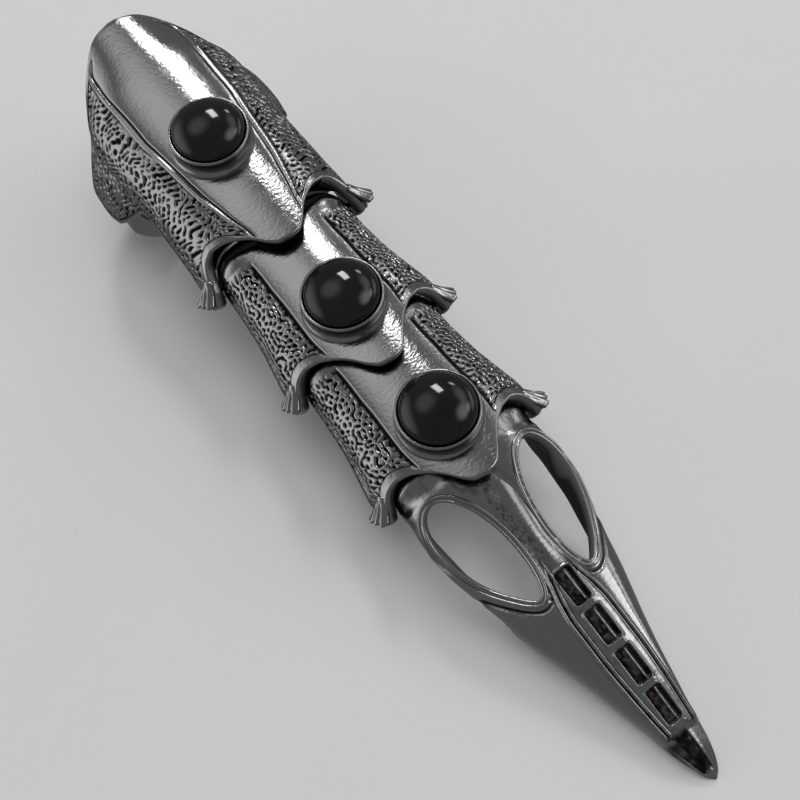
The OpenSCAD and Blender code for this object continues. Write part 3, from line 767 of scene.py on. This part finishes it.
def seated(points, x, z, tilt):
    """Turns spun points by the plate's slope and sets them on the crest at x."""
    c, s = math.cos(math.radians(tilt)), math.sin(math.radians(tilt))
    p = np.asarray(points)
    return np.stack([p[:, 0] * c - p[:, 2] * s + x, p[:, 1], p[:, 0] * s + p[:, 2] * c + z], 1)


# %% Seats of the stones
STONE_R, DOME_RISE, GIRDLE, STONE_GAP = 4.2, 2.2, 1.3, 0.05
BEZEL_WALL, BEZEL_RISE = 0.3, 2.0
BEZEL_R = STONE_R + STONE_GAP + BEZEL_WALL
POCKET = BEZEL_RISE - GIRDLE
BASE_TILT, PLATE_TILT = 2.5, math.degrees(math.atan(PLATE_SLOPE))
base_seat_x, middle_seat_x, end_seat_x = BASE_FRONT - 13.6, PITCH - 4.3, PITCH - 3.6
base_seat_z = CREST * float(smooth([(row[0], row[3]) for row in BASE_ROWS] + [(1, 1)],
                                   np.array([(base_seat_x + BASE_BACK) / BASE_LENGTH]), 1)[0])
SEATS = [("base", base_seat_x, base_seat_z, BASE_TILT),
         ("middle", HINGES[0] + middle_seat_x, guard_top(middle_seat_x), PLATE_TILT),
         ("end", HINGES[1] + end_seat_x, guard_top(end_seat_x), PLATE_TILT)]
print("seats at", [(body, round(x, 1), round(z, 2)) for body, x, z, _ in SEATS])

# %% Bezels and stones
bezel_profile = [
    (0, -1.1), (BEZEL_R + 0.4, -1.1), (BEZEL_R + 0.38, -0.2), (BEZEL_R + 0.27, 0.02),
    (BEZEL_R + 0.14, 0.16), (BEZEL_R + 0.04, 0.36), (BEZEL_R - 0.02, 0.6), (BEZEL_R - 0.05, 1.1),
    (BEZEL_R - 0.05, 1.6), (BEZEL_R + 0.05, 1.7), (BEZEL_R + 0.1, 1.86), (BEZEL_R + 0.06, 2.02),
    (BEZEL_R - 0.06, 2.1), (BEZEL_R - 0.2, 2.05), (STONE_R + STONE_GAP, 1.88),
    (STONE_R + STONE_GAP, POCKET), (0, POCKET)]
# Painted shade: the bezel's wall under the crest and the pocket under the stone are darkened where shade
# falls; the crest and the foot stay polished.
bezel_painted_shade = [0.3, 0.3, 0.1, 0, 0, 0.15, 0.4, 0.65, 0.85, 0.5, 0, 0, 0, 0.1, 0.7, 0.9, 0.9]
dome = [(STONE_R * math.cos(math.radians(t)), BEZEL_RISE + DOME_RISE * math.sin(math.radians(t)))
        for t in range(0, 90, 4)]
stone_profile = [(0, POCKET + STONE_GAP), (STONE_R - 0.15, POCKET + STONE_GAP), (STONE_R, POCKET + 0.2),
                 *dome, (0, BEZEL_RISE + DOME_RISE)]
for body, x, z, tilt in SEATS:
    ring, faces = spun(bezel_profile)
    shade = [bezel_painted_shade[0], *np.repeat(bezel_painted_shade[1:-1], SPUN_STEPS), bezel_painted_shade[-1]]
    new_piece(body + "_bezel", seated(ring, x, z, tilt), faces, body, GUNMETAL, shade)
    ball, faces = spun(stone_profile)
    stone = new_piece(body + "_cabochon", seated(ball, x, z, tilt), faces, body, BLACK_STONE)
    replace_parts(stone, body + "_stone")

# %% Rivets
RIVET_R, RIVET_HEAD_R, RIVET_GAP = 0.65, 1.2, 0.06
inner_face = NESTED_HALF - WALL - RIVET_GAP
outer_face = SIDE_HALF + RIVET_GAP
rivet_profile = [
    (0, inner_face - 0.35), (0.9, inner_face - 0.35), (1.0, inner_face - 0.25), (1.0, inner_face),
    (RIVET_R, inner_face), (RIVET_R, outer_face), (RIVET_HEAD_R - 0.05, outer_face),
    (RIVET_HEAD_R, outer_face + 0.12), (RIVET_HEAD_R - 0.04, outer_face + 0.26),
    (0.98, outer_face + 0.38), (0.8, outer_face + 0.42), (0.68, outer_face + 0.44),
    (0.5, outer_face + 0.54), (0.25, outer_face + 0.59), (0, outer_face + 0.6)]
for body, word, x in zip(("base", "middle", "end"), ("first", "second", "third"), HINGES):
    for side, hand in ((-1, "left"), (1, "right")):
        pin, faces = spun(rivet_profile, PIN_STEPS)
        turned = np.stack([pin[:, 0] + x, side * pin[:, 2], HINGE_RISE - side * pin[:, 1]], 1)
        dark = np.where((pin[:, 2] > outer_face + 0.36) & (pin[:, 2] < outer_face + 0.5), 0.6, 0.0)
        piece = new_piece(word + "_" + hand + "_rivet_head", turned, faces, body, GUNMETAL, dark)
        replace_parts(piece, word + "_" + hand + "_rivet")

# %% [markdown]
# ## The finger band
# Below the lobes the band closes the ring. It is a swept rounded section, and its lowest part is ground
# flat where the ring stands: the same grinding in code is to press every point that would be under the
# floor up to it.

# %% Band
BAND_ROUNDING, BAND_INSIDE, BAND_INSIDE_PAINTED_SHADE = 0.55, 0.04, 0.35
BAND_TOP = FINGER_R / 10
START_ANGLE = math.asin(BAND_TOP / BAND_R)


def above_floor(points):
    """Points with every one that would be under the floor pressed up to it."""
    c, s = math.cos(LEAN), math.sin(LEAN)
    points = points.copy()
    points[:, 2] += np.maximum(FLOOR - (points[:, 2] * c - points[:, 0] * s), 0) / c
    return points


def band_section(steps=5):
    """Closed rounded section of the band, in places along the finger and distances from its middle."""
    half, r = BAND_LENGTH / 2, BAND_ROUNDING
    low = FINGER_R - BAND_INSIDE
    ring = []
    for k, (x, far) in enumerate([(-half, low), (half, low), (half, BAND_R), (-half, BAND_R)]):
        cx, cr = x - math.copysign(r, x), far - math.copysign(r, far - FINGER_R - 0.1)
        for i in range(steps + 1):
            a = math.radians(180 + 90 * k + 90 * i / steps)
            ring.append((cx + r * math.cos(a), cr + r * math.sin(a)))
    return ring


def band(steps=120):
    """Points and faces of the band, thinner at its two ends, where it meets the lobes."""
    section = band_section()
    n = len(section)
    turns = np.linspace(START_ANGLE, -math.pi - START_ANGLE, steps + 1)
    swept = np.array([[[x, far * math.cos(t), far * math.sin(t)] for x, far in section] for t in turns])
    slim = 0.35 + 0.65 * step(0.02, 0.4, -np.sin(turns))
    far = np.hypot(swept[..., 1], swept[..., 2])
    swept[..., 1:] *= (1 - (1 - slim[:, None]) * np.maximum(far - FINGER_R, 0) / far)[..., None]
    faces = [[i * n + j, i * n + (j + 1) % n, (i + 1) * n + (j + 1) % n, (i + 1) * n + j]
             for i in range(steps) for j in range(n)]
    faces += [list(range(n))[::-1], [steps * n + j for j in range(n)]]
    return above_floor(swept.reshape(-1, 3)), faces


points, faces = band()
# Painted shade on the band's inside, round the finger hole.
dark = BAND_INSIDE_PAINTED_SHADE * (np.hypot(points[:, 1], points[:, 2]) < FINGER_R + 0.05)
new_piece("finger_band", points, faces, "base", GUNMETAL, dark)

# %% [markdown]
# ## The claw
# The claw is a hollow beak: a shell with a roof and two flanks, nested at its near end like the short
# guards, and filled towards the tip. The shell is a closed sheet as the guards are. The table's rows
# give the share of the length, then half width, crest, lower edge, roof width, fullness of the flank
# and how far the edge turns in.

# %% Claw tables
CLAW_HALF = NESTED_HALF - 0.1
STRIP_HALF = 2.8
CLAW_ROWS = [
    (0.00, 1.00, 1.00, 0.575, 0.05, 0.1, 1), (0.035, 1.00, 0.99, 0.45, 0.3, 0.3, 0.985),
    (0.06, 1.00, 0.985, 0.38, 0.6, 0.8, 0.97), (0.13, 1.03, 0.96, 0.32, 0.75, 0.9, 0.94),
    (0.22, 1.01, 0.92, 0.30, 0.7, 0.8, 0.92), (0.31, 0.92, 0.87, 0.28, 0.7, 0.7, 0.93),
    (0.39, 0.82, 0.82, 0.26, 1.0, 0.6, 0.96), (0.45, 0.76, 0.78, 0.24, 1.0, 0.5, 1),
    (0.52, 0.665, 0.74, 0.24, 1.0, 0.5, 1), (0.60, 0.55, 0.68, 0.24, 1.0, 0.5, 1),
    (0.68, 0.45, 0.62, 0.24, 0.95, 0.5, 1), (0.74, 0.385, 0.57, 0.24, 0.9, 0.5, 1),
    (0.82, 0.295, 0.49, 0.24, 0.8, 0.5, 1), (0.89, 0.21, 0.43, 0.24, 0.65, 0.5, 1),
    (0.95, 0.135, 0.365, 0.235, 0.4, 0.5, 1), (0.98, 0.08, 0.31, 0.222, 0.22, 0.5, 1),
    (1.00, 0.02, 0.255, TIP_RISE / NESTED_CREST, 0.05, 0.5, 1)]
FLANK_BEND = 0.42
CLAW_STEPS, CLAW_RINGS, SOLID_FROM = 300, 12, 0.72
print("claw:", len(CLAW_ROWS), "rows over", CLAW_LENGTH, "mm")

# %% Claw sections


def claw_sizes(u):
    """Half width, crest, lower edge, half roof, fullness and turn-in at a share of the length."""
    half, top, low, roof, full, turn_in = (smooth(CLAW_ROWS, u, c) for c in range(1, 7))
    return CLAW_HALF * half, NESTED_CREST * top, NESTED_CREST * low, STRIP_HALF * roof, full, turn_in


def claw_section(u, w, count=46):
    """Half sections over the roof and down the flank to the edge, w inside the surface."""
    side, top, low, roof, full, turn_in = (v[:, None] for v in claw_sizes(u))
    side = np.maximum(side, 1.15 * roof)
    w = np.minimum(w, 0.42 * side) if w else 0
    bend = low + (top - low) * FLANK_BEND * full
    roof = roof * (1 - w / WALL / 3)
    flat_part = np.linspace(0, 1, 7)[None, :-1]
    t = np.radians(np.linspace(0, 90, count))[None, :]
    down = np.linspace(0, 1, 9)[None, 1:]
    y = np.concatenate([flat_part * roof, roof + (side - w - roof) * np.sin(t),
                        (side - w) * (1 + (turn_in - 1) * down)], 1)
    z = np.concatenate([top - w + 0 * flat_part, bend + (top - w - bend) * np.cos(t),
                        bend + (low - bend) * down], 1)
    return y, z


def mirrored(x, y, z):
    """Grid of whole sections from half ones."""
    right = np.stack([x + 0 * y, y, z], -1)
    left = right * [1, -1, 1]
    return np.concatenate([left[:, :0:-1], right], 1)


def tuck_rings(w):
    """Rings of the round near end, turned back about the hinge."""
    y, z = claw_section(np.array([0.0]), w)
    grid = mirrored(np.zeros((1, 1)), y, z)[0]
    r = np.maximum(grid[:, 2] - HINGE_RISE, 0)
    backs = [math.radians(TUCK * (1 - i / CLAW_RINGS)) for i in range(CLAW_RINGS)]
    return np.array([np.stack([-r * math.sin(b), grid[:, 1], HINGE_RISE + r * math.cos(b)], -1)
                     for b in backs])


def claw_grid(w):
    """The claw's surface, w inside it; the inner one turns into a flat underside towards the tip."""
    u = np.linspace(0, 1, CLAW_STEPS)
    x = (CLAW_LENGTH * u)[:, None]
    grid = mirrored(x, *claw_section(u, w))
    if w:
        y, z = claw_section(u, 0)
        edge_y, edge_z = y[:, -1:], z[:, -1:]
        spread = np.linspace(-1, 1, grid.shape[1])[None, :]
        under = np.stack([x + 0 * spread, 0.94 * edge_y * spread,
                          edge_z + 0.12 * edge_y * (1 - spread ** 2)], -1)
        mix = step(SOLID_FROM - 0.03, SOLID_FROM + 0.03, u)[:, None, None]
        grid = grid * (1 - mix) + under * mix
    return np.concatenate([tuck_rings(w), grid])


# %% [markdown]
# ## Where the windows are
# Seen from above each window is an oval whose long axis turns a little towards the strip. Twenty
# listed places round it make one closed curve. It is needed first for a fine seam that runs in
# front of each window, then for the cut and for the wires.

# %% Window outline
WINDOW = [
    (2.9, 6.3), (3.2, 7.35), (4.3, 8.15), (6.2, 8.6), (8.3, 8.5), (10.5, 7.95), (12.6, 7.2),
    (14.4, 6.25), (15.9, 5.25), (17.1, 4.25), (17.6, 3.4), (17.0, 2.8), (15.8, 2.35), (14.3, 2.1),
    (12.5, 2.02), (10.5, 2.15), (8.5, 2.5), (6.5, 3.1), (4.8, 3.95), (3.5, 5.0)]


def closed_curve(points, per_step):
    """Smooth closed curve through the points."""
    p = np.asarray(points, float)
    t = np.arange(per_step)[:, None] / per_step
    parts = []
    for i in range(len(p)):
        a, b, c, d = p[i - 1], p[i], p[(i + 1) % len(p)], p[(i + 2) % len(p)]
        parts.append(0.5 * (2 * b + (c - a) * t + (2 * a - 5 * b + 4 * c - d) * t ** 2
                            + (3 * b - a - 3 * c + d) * t ** 3))
    return np.concatenate(parts)


def window_distance(x, y):
    """Distance from a place seen from above to the nearer window's edge."""
    edge = closed_curve(WINDOW, 12)
    near = np.full(x.shape, 99.0)
    for ex, ey in edge:
        near = np.minimum(near, np.hypot(x - ex, np.abs(y) - ey))
    return near


print("window:", round(float(np.ptp(closed_curve(WINDOW, 12)[:, 0])), 1), "mm long")

# %% [markdown]
# ## Finish of the shell
# The shell is polished, with patina blotches near the hinge, the seam in front of each window, some
# specks on the flank, and a dark, pitted side of the tip. All of it is placed by where a point lies on
# the claw. The patina is never quite 0, because a boolean leaves 0 on the points that it makes, and
# that is how they are known later.

# %% Claw shell
NOT_CUT = 0.001


def pitting(a, b):
    """Coarse and fine pits as a rough casting has them."""
    return cloud(a / 0.5, b / 0.5, 31) * 0.5 + cloud(a / 0.25, b / 0.25, 32) * 0.3


def claw_finish(grid):
    """Relief and patina over the claw's outer surface."""
    x, y, z = (grid[..., i] for i in range(3))
    blotches = 0.35 * step(0.1, 0.7, cloud(x / 0.8, y / 0.4, 21)) * step(9, 6, x)
    seam = step(12.5, 14, x) * step(24, 22, x) * hill(window_distance(x, y), 1.1, 0.14)
    specks = hill(x, 17.5, 1.8) * step(-2, -4, y) * cloud(x / 0.22, z / 0.22, 22)
    tip_side = step(0.865, 0.885, x / CLAW_LENGTH) * step(-0.1, -0.4, y)
    patina_and_shade = np.clip(blotches + 0.95 * seam + tip_side * (0.7 + 0.25 * pitting(x, z)), NOT_CUT, 1)
    return 0.05 * specks - 0.25 * seam, patina_and_shade


claw_outer, claw_inner = claw_grid(0), claw_grid(WALL)
relief, claw_patina = claw_finish(claw_outer)
claw_outer = claw_outer + normals(claw_outer) * relief[..., None]
points, faces, dark = closed_sheet(claw_outer, claw_inner, claw_patina, 0.14)
points[:, 0] += HINGES[2]
claw_shell = new_piece("claw_shell", above_floor(points), faces, "claw", GUNMETAL, dark)
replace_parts(claw_shell, "claw")

# %% [markdown]
# ## Cutting the windows
# The windows are cut with a boolean, whose tool is a prism through the oval. A straight cut from above
# would leave a long sharp edge on the steep flank, so the prism leans and meets it squarely. The points
# that the cut makes at the inside then get the same painted shade as the whole inside.

# %% Window cutters
CUT_SLANT, CUTTER_TOP = 0.4, 16.0


def window_outline(side, grow):
    """The window's edge seen from above, moved outwards by grow."""
    p = closed_curve(WINDOW, 6)
    along = unit(np.roll(p, -1, 0) - np.roll(p, 1, 0))
    p = p + grow * np.stack([-along[:, 1], along[:, 0]], 1)
    return p[:, 0], side * p[:, 1]


def flank_height(x, y):
    """Height of the claw's outer face over a place seen from above."""
    side, top, low, roof, full, _ = claw_sizes(np.clip(x / CLAW_LENGTH, 0, 1))
    bend = low + (top - low) * FLANK_BEND * full
    share = np.clip((np.abs(y) - roof) / (side - roof), 0, 1)
    return bend + (top - bend) * np.sqrt(1 - share ** 2)


def cutter(side):
    """Slanted prism through the window's edge, so that the cut meets the steep flank squarely."""
    x, y = window_outline(side, 0)
    n = len(x)
    rise = flank_height(x, y)
    points = np.concatenate([np.stack([x + HINGES[2], y + side * CUT_SLANT * (z - rise), 0 * x + z], 1)
                             for z in (0.0, CUTTER_TOP)])
    faces = [[i, (i + 1) % n, n + (i + 1) % n, n + i] for i in range(n)]
    faces += [list(range(n))[::-1], [n + i for i in range(n)]]
    mesh = bpy.data.meshes.new("window_cutter")
    mesh.from_pydata(laid(points).tolist(), [], faces)
    face_outwards(mesh)
    made = bpy.data.objects.new("window_cutter", mesh)
    bpy.context.scene.collection.objects.link(made)
    return made


# %% The cut


def cut(piece, tools):
    """Takes the tools' volume out of a piece and leaves a plain mesh."""
    for tool in tools:
        change = piece.modifiers.new("window", "BOOLEAN")
        change.operation, change.object, change.solver = "DIFFERENCE", tool, "EXACT"
    bpy.context.view_layer.update()
    fresh = bpy.data.meshes.new_from_object(piece.evaluated_get(bpy.context.evaluated_depsgraph_get()))
    piece.modifiers.clear()
    piece.data = fresh
    for tool in tools:
        bpy.data.objects.remove(tool)
    print(piece.name, len(fresh.polygons), "faces after the cut")


def paint_shade_on_cut_inside(mesh):
    """Painted shade of the inside on the deeper ones of the points that the cut made, known by having no
    patina_and_shade value at all.
    """
    count = len(mesh.vertices)
    value, place = np.zeros(count, np.float32), np.zeros(3 * count, np.float32)
    mesh.attributes["patina_and_shade"].data.foreach_get("value", value)
    mesh.vertices.foreach_get("co", place)
    x, y, z = place.reshape(-1, 3).T / MM
    c, s = math.cos(LEAN), math.sin(LEAN)
    x, z = x * c - z * s - HINGES[2], x * s + z * c
    made_by_cut = value < NOT_CUT / 2
    deep = flank_height(x, y) - z > 0.4 * WALL
    value[made_by_cut & deep] = INSIDE_PAINTED_SHADE
    mesh.attributes["patina_and_shade"].data.foreach_set("value", value)
    print("the cut made", made_by_cut.sum(), "points, blackened", (made_by_cut & deep).sum())


cut(claw_shell, [cutter(-1), cutter(1)])
paint_shade_on_cut_inside(claw_shell.data)

# %% [markdown]
# ## Wires round the windows
# The real window has a raised wire a little outside the opening and a thinner lip on its very edge,
# which also hides the cut. Both are round wires along the same oval, laid on the flank and smoothed a
# little, because a bent wire has no sharp corner.

# %% Wires


def tube(path, radius, count=10):
    """Points and faces of a round closed wire along a path in mm."""
    n = len(path)
    along = unit(np.roll(path, -1, 0) - np.roll(path, 1, 0))
    out = unit(np.cross(along, [0, 0, 1.0]))
    up = np.cross(out, along)
    t = np.linspace(0, 2 * math.pi, count, endpoint=False)[None, :, None]
    rings = path[:, None] + radius * (np.cos(t) * out[:, None] + np.sin(t) * up[:, None])
    faces = [[i * count + j, (i + 1) % n * count + j, (i + 1) % n * count + (j + 1) % count,
              i * count + (j + 1) % count] for i in range(n) for j in range(count)]
    return rings.reshape(-1, 3), faces


WIRES = [("rim", 0.48, -0.02, 0.2), ("lip", 0.02, 0.1, 0.17)]
for side, hand in ((-1, "left"), (1, "right")):
    for name, grow, drop, r in WIRES:
        x, y = window_outline(side, grow)
        path = np.stack([x, y, flank_height(x, y) - drop], 1)
        for _ in range(3):
            path = (np.roll(path, 1, 0) + 2 * path + np.roll(path, -1, 0)) / 4
        points, faces = tube(path, r)
        points[:, 0] += HINGES[2]
        bright = np.zeros(len(points))
        new_piece("%s_window_%s" % (hand, name), points, faces, "claw", GUNMETAL, bright)

# %% [markdown]
# ## The ridge strip
# The strip is the claw's spine: round between the windows, then flat with bevelled sides, two fine lines
# along each edge and four sunk slots, and at last two facets that meet at the tip, one polished and one
# left dark. Each slot has a dark tray on its left, and on its right a slope that rises along a bright
# line. It is a height field over a grid, so every line and slot is real relief. The rows give the share
# of the claw's length, the half width and the rise over the roof.

# %% Strip tables
STRIP_ROWS = [
    (0.02, 2.2, 0.0), (0.06, 2.5, 0.02), (0.12, 2.5, 0.12), (0.19, 2.0, 0.5), (0.25, 1.7, 0.7),
    (0.3, 1.5, 0.8), (0.36, 1.62, 0.85), (0.41, 1.95, 0.85), (0.46, 2.45, 0.85), (0.52, 2.75, 0.85),
    (0.626, 2.75, 0.85), (0.73, 2.55, 0.85), (0.83, 2.2, 0.85), (0.9, 1.8, 0.75), (0.95, 1.3, 0.6),
    (0.98, 0.8, 0.38), (0.993, 0.45, 0.2), (0.999, 0.15, 0.03)]
SLOTS = [0.4425 + 0.1163 * i for i in range(4)]
SLOT_HALF_LENGTH, SLOT_HALF_WIDTH, SLOT_CORNER, BAR_STEP = 1.95, 0.98, 0.3, 0.058
STRIP_SINK = 0.55
print("slots at", [round(CLAW_LENGTH * middle, 1) for middle in SLOTS], "mm from the hinge")

# %% Strip


def sink_slots(x, y, z, dark):
    """Strip's height and patina with the four slots in it: walls, tray, slope and raised border."""
    for middle in SLOTS:
        width = SLOT_HALF_WIDTH * (1 - 0.25 * (middle - SLOTS[0]))
        dx, dy = np.abs(x - middle * CLAW_LENGTH), np.abs(y)
        outside = np.hypot(np.maximum(dx - SLOT_HALF_LENGTH + SLOT_CORNER, 0),
                           np.maximum(dy - width + SLOT_CORNER, 0)) - SLOT_CORNER
        sunk = step(0.06, -0.12, outside)
        bed = sunk * step(0.08, 0.2, np.minimum(SLOT_HALF_LENGTH - dx, width - dy))
        slope = bed * step(0.1, 0.3, y)
        z = z - 0.5 * sunk + 0.14 * bed * (1 - slope) + slope * (0.46 - 0.55 * y)
        z = z + 0.18 * hill(outside, 0.17, 0.11) * (1 - sunk)
        grit = 0.12 * cloud(x / 0.3, y / 0.3, 35)
        shade = 0.9 - 0.22 * bed + grit * bed - slope * (0.62 - 0.5 * step(0.25, 0.8, y))
        dark = np.maximum(dark * (1 - sunk), sunk * shade)
    return z, dark


def strip_grids(count, across):
    """Outer and inner grid of the strip and the outer one's patina."""
    u = np.linspace(STRIP_ROWS[0][0], STRIP_ROWS[-1][0], count)
    half, rise = smooth(STRIP_ROWS, u, 1)[:, None], smooth(STRIP_ROWS, u, 2)[:, None]
    roof = claw_sizes(u)[1][:, None]
    v = np.linspace(-1, 1, across)[None, :]
    y = half * v
    x = CLAW_LENGTH * u[:, None] + 0 * y
    flat = step(0.33, 0.42, u)[:, None]
    edge = half * (1 - np.abs(v))
    bevel = np.maximum(np.abs(y) - 1.15 * half / 2.75, 0)
    z = roof + rise - (1 - flat) * 0.75 * v ** 2 - flat * 0.42 * bevel
    tip = step(0.855, 0.875, u)[:, None]
    lined = flat * (1 - tip)
    lines = 0.16 * hill(edge, 0.2, 0.13) - 0.2 * hill(edge, 0.5, 0.1) + 0.1 * hill(edge, 0.72, 0.1)
    z = z + lined * lines
    dark = lined * (0.85 * hill(edge, 0.48, 0.08) + 0.5 * hill(edge, 0.92, 0.07))
    z, dark = sink_slots(x, y, z, dark)
    bars = sum(hill(x, (middle + BAR_STEP) * CLAW_LENGTH, 0.2) for middle in SLOTS)
    z = z + 0.16 * bars * step(1.1, 0.85, np.abs(y)) * (1 - tip)
    pits = pitting(x, y)
    hollow = tip * step(0.4, 0.2, y) * step(0.04, 0.16, edge) * step(0.985, 0.965, u)[:, None]
    z = z - hollow * (0.35 + 0.14 * pits) - tip * 0.25 * np.abs(y)
    dark = np.maximum(dark, hollow * (0.75 + 0.25 * pits))
    blots = step(-0.2, 0.5, 0.6 * cloud(x / 0.5, y / 0.3, 33) + cloud(x / 0.2, y / 0.12, 34))
    worn = (1 - flat) * 0.5 * blots * step(0.1, -0.3, v)
    worn = worn + lined * 0.2 * step(0.2, 0.6, cloud(x / 0.6, y / 0.3, 36))
    outer, inner = np.stack([x, y, z], -1), np.stack([x, y, roof - STRIP_SINK + 0 * y], -1)
    return outer, inner, np.clip(dark + worn, 0, 1)


strip_outer, strip_inner, strip_patina = strip_grids(360, 81)
points, faces, dark = closed_sheet(strip_outer, strip_inner, strip_patina, 0.12)
points[:, 0] += HINGES[2]
new_piece("claw_strip", above_floor(points), faces, "claw", GUNMETAL, dark)

# %% [markdown]
# ## A plain pale floor
# The floor is one large face under the ring, in a pale matt finish with very faint clouds. Polished
# metal would show it as a white band on every side, so the mirrors don't see it: for them the room goes
# on below the ring as it does above.

# %% Floor
FLOOR_HALF = 1.5
floor_mesh = bpy.data.meshes.new("floor")
corners = [(-1, -1), (1, -1), (1, 1), (-1, 1)]
places = [(FLOOR_HALF * i, FLOOR_HALF * j, FLOOR * MM) for i, j in corners]
floor_mesh.from_pydata(places, [], [(0, 1, 2, 3)])
floor = bpy.data.objects.new("floor", floor_mesh)
bpy.context.scene.collection.objects.link(floor)
pale, nodes, links, shader = new_material("pale_floor", (0.7, 0.7, 0.7))
soft = noise_node(nodes, links, 0.02, 2)
tone = ramp_node(nodes, links, soft.outputs["Fac"],
                 [(0.3, (0.78, 0.775, 0.77)), (0.7, (0.82, 0.815, 0.81))])
links.new(tone.outputs["Color"], shader.inputs["Base Color"])
shader.inputs["Roughness"].default_value = 0.75
floor_mesh.materials.append(pale)
floor.visible_glossy = False
print("floor at", round(FLOOR, 2), "mm")

# %% [markdown]
# ## The room that the metal shows
# Polished metal has hardly a colour of its own: it shows its room, so the room is part of the finish. A
# dim sky keeps the plates dark. A small, hard and bright light high behind the ring makes the long
# streak on its back, and a second one near it the glints along the edges. Broad, soft ones stand round
# the ring, where a mirror on each side of the plates would look: one low behind for the grained panels,
# one at the side, one low down, one on top and one in front. A small one brightens the strip's bevel.
# All but the streak's and the floor's fade towards their edges, as a studio box does. The last one is
# for the floor alone, and the metal doesn't see it.

# %% Soft lights
SKY_STRENGTH = 0.16
world = bpy.data.worlds.new("studio")
world.use_nodes = True
world.node_tree.nodes["Background"].inputs["Color"].default_value = (0.98, 1.0, 1.02, 1)
world.node_tree.nodes["Background"].inputs["Strength"].default_value = SKY_STRENGTH
bpy.context.scene.world = world
aim = Vector(laid([30, 0, 8]))


def soften(lamp):
    """Fades a rectangular light out from its middle to its edges, as a studio box does."""
    lamp.use_nodes = True
    nodes, links = lamp.node_tree.nodes, lamp.node_tree.links
    place = nodes.new("ShaderNodeNewGeometry")
    centred = nodes.new("ShaderNodeVectorMath")
    centred.operation = "DISTANCE"
    links.new(place.outputs["Parametric"], centred.inputs[0])
    centred.inputs[1].default_value = (0.5, 0.5, 0)
    fade = nodes.new("ShaderNodeMapRange")
    fade.interpolation_type = "SMOOTHSTEP"
    for label, value in (("From Min", 0.5), ("From Max", 0.1), ("To Min", 0), ("To Max", 1)):
        fade.inputs[label].default_value = value
    links.new(centred.outputs["Value"], fade.inputs["Value"])
    links.new(fade.outputs["Result"], nodes["Emission"].inputs["Strength"])


def soft_light(name, direction, distance, size, brightness, soft_edge=True, roll=0):
    """Rectangular light seen from the ring in that direction; brightness is what a mirror would show."""
    lamp = bpy.data.lights.new(name, "AREA")
    lamp.shape, lamp.size, lamp.size_y = "RECTANGLE", size[0], size[1]
    lamp.energy = brightness * math.pi * size[0] * size[1]
    if soft_edge:
        soften(lamp)
    holder = bpy.data.objects.new(name, lamp)
    way = Vector(direction).normalized()
    turn = way.to_track_quat("Z", "Y").to_matrix().to_4x4() @ Matrix.Rotation(math.radians(roll), 4, "Z")
    holder.matrix_world = Matrix.Translation(aim + way * distance) @ turn
    bpy.context.scene.collection.objects.link(holder)
    print(name, "brightness", brightness)
    return holder


# %% Lights, each with its direction, distance, size and brightness
soft_light("streak_light", (-0.545, 0.41, 0.73), 0.8, (0.25, 0.12), 11, False, 128)
soft_light("edge_light", (-0.46, 0.75, 0.48), 0.9, (0.2, 0.16), 5)
soft_light("back_light", (-0.55, -0.78, 0.25), 1.0, (2.2, 1.4), 0.85)
soft_light("side_light", (-0.05, 0.8, 0.6), 1.0, (0.9, 0.6), 0.8)
soft_light("low_light", (0.15, 1.0, 0.14), 1.0, (1.0, 0.4), 1.0)
soft_light("top_light", (-0.45, -0.06, 0.88), 1.0, (0.9, 0.8), 0.6)
soft_light("front_light", (0.42, 0.62, 0.66), 1.0, (0.85, 0.85), 1.7)
soft_light("bevel_light", (0.33, 0.83, 0.45), 1.0, (0.45, 0.35), 1.7)
floor_light = soft_light("floor_light", (0.1, 0.1, 1), 1.6, (1.2, 1.2), 1.8, False)
floor_light.visible_glossy = False

# %% [markdown]
# ## The camera
# The camera looks from the claw's side, high and near, with a longish lens. Its place and its two
# directions are given along the finger, like the shapes, and lean with them. The plain view transform
# keeps the greys as the lights give them.

# %% Camera
CAMERA_PLACE, CAMERA_LENS = (84.37, -27.11, 130.98), 54.45
CAMERA_FORWARD, CAMERA_UP = (-0.2894, 0.1951, -0.9371), (-0.7386, 0.5772, 0.3483)
camera_data = bpy.data.cameras.new("camera")
camera_data.sensor_width, camera_data.lens = 36.0, CAMERA_LENS
camera_data.clip_start = 0.01
camera = bpy.data.objects.new("camera", camera_data)
leaning = Matrix.Rotation(LEAN, 3, "Y")
forward, upward = leaning @ Vector(CAMERA_FORWARD), leaning @ Vector(CAMERA_UP)
right = forward.cross(upward).normalized()
upward = right.cross(forward).normalized()
turn = Matrix((right, upward, -forward.normalized())).transposed()
camera.matrix_world = Matrix.Translation(Vector(laid(CAMERA_PLACE))) @ turn.to_4x4()
bpy.context.scene.collection.objects.link(camera)
bpy.context.scene.camera = camera
bpy.context.scene.view_settings.view_transform = "Standard"
print("camera", round((camera.matrix_world.translation - aim).length / MM), "mm from the ring")
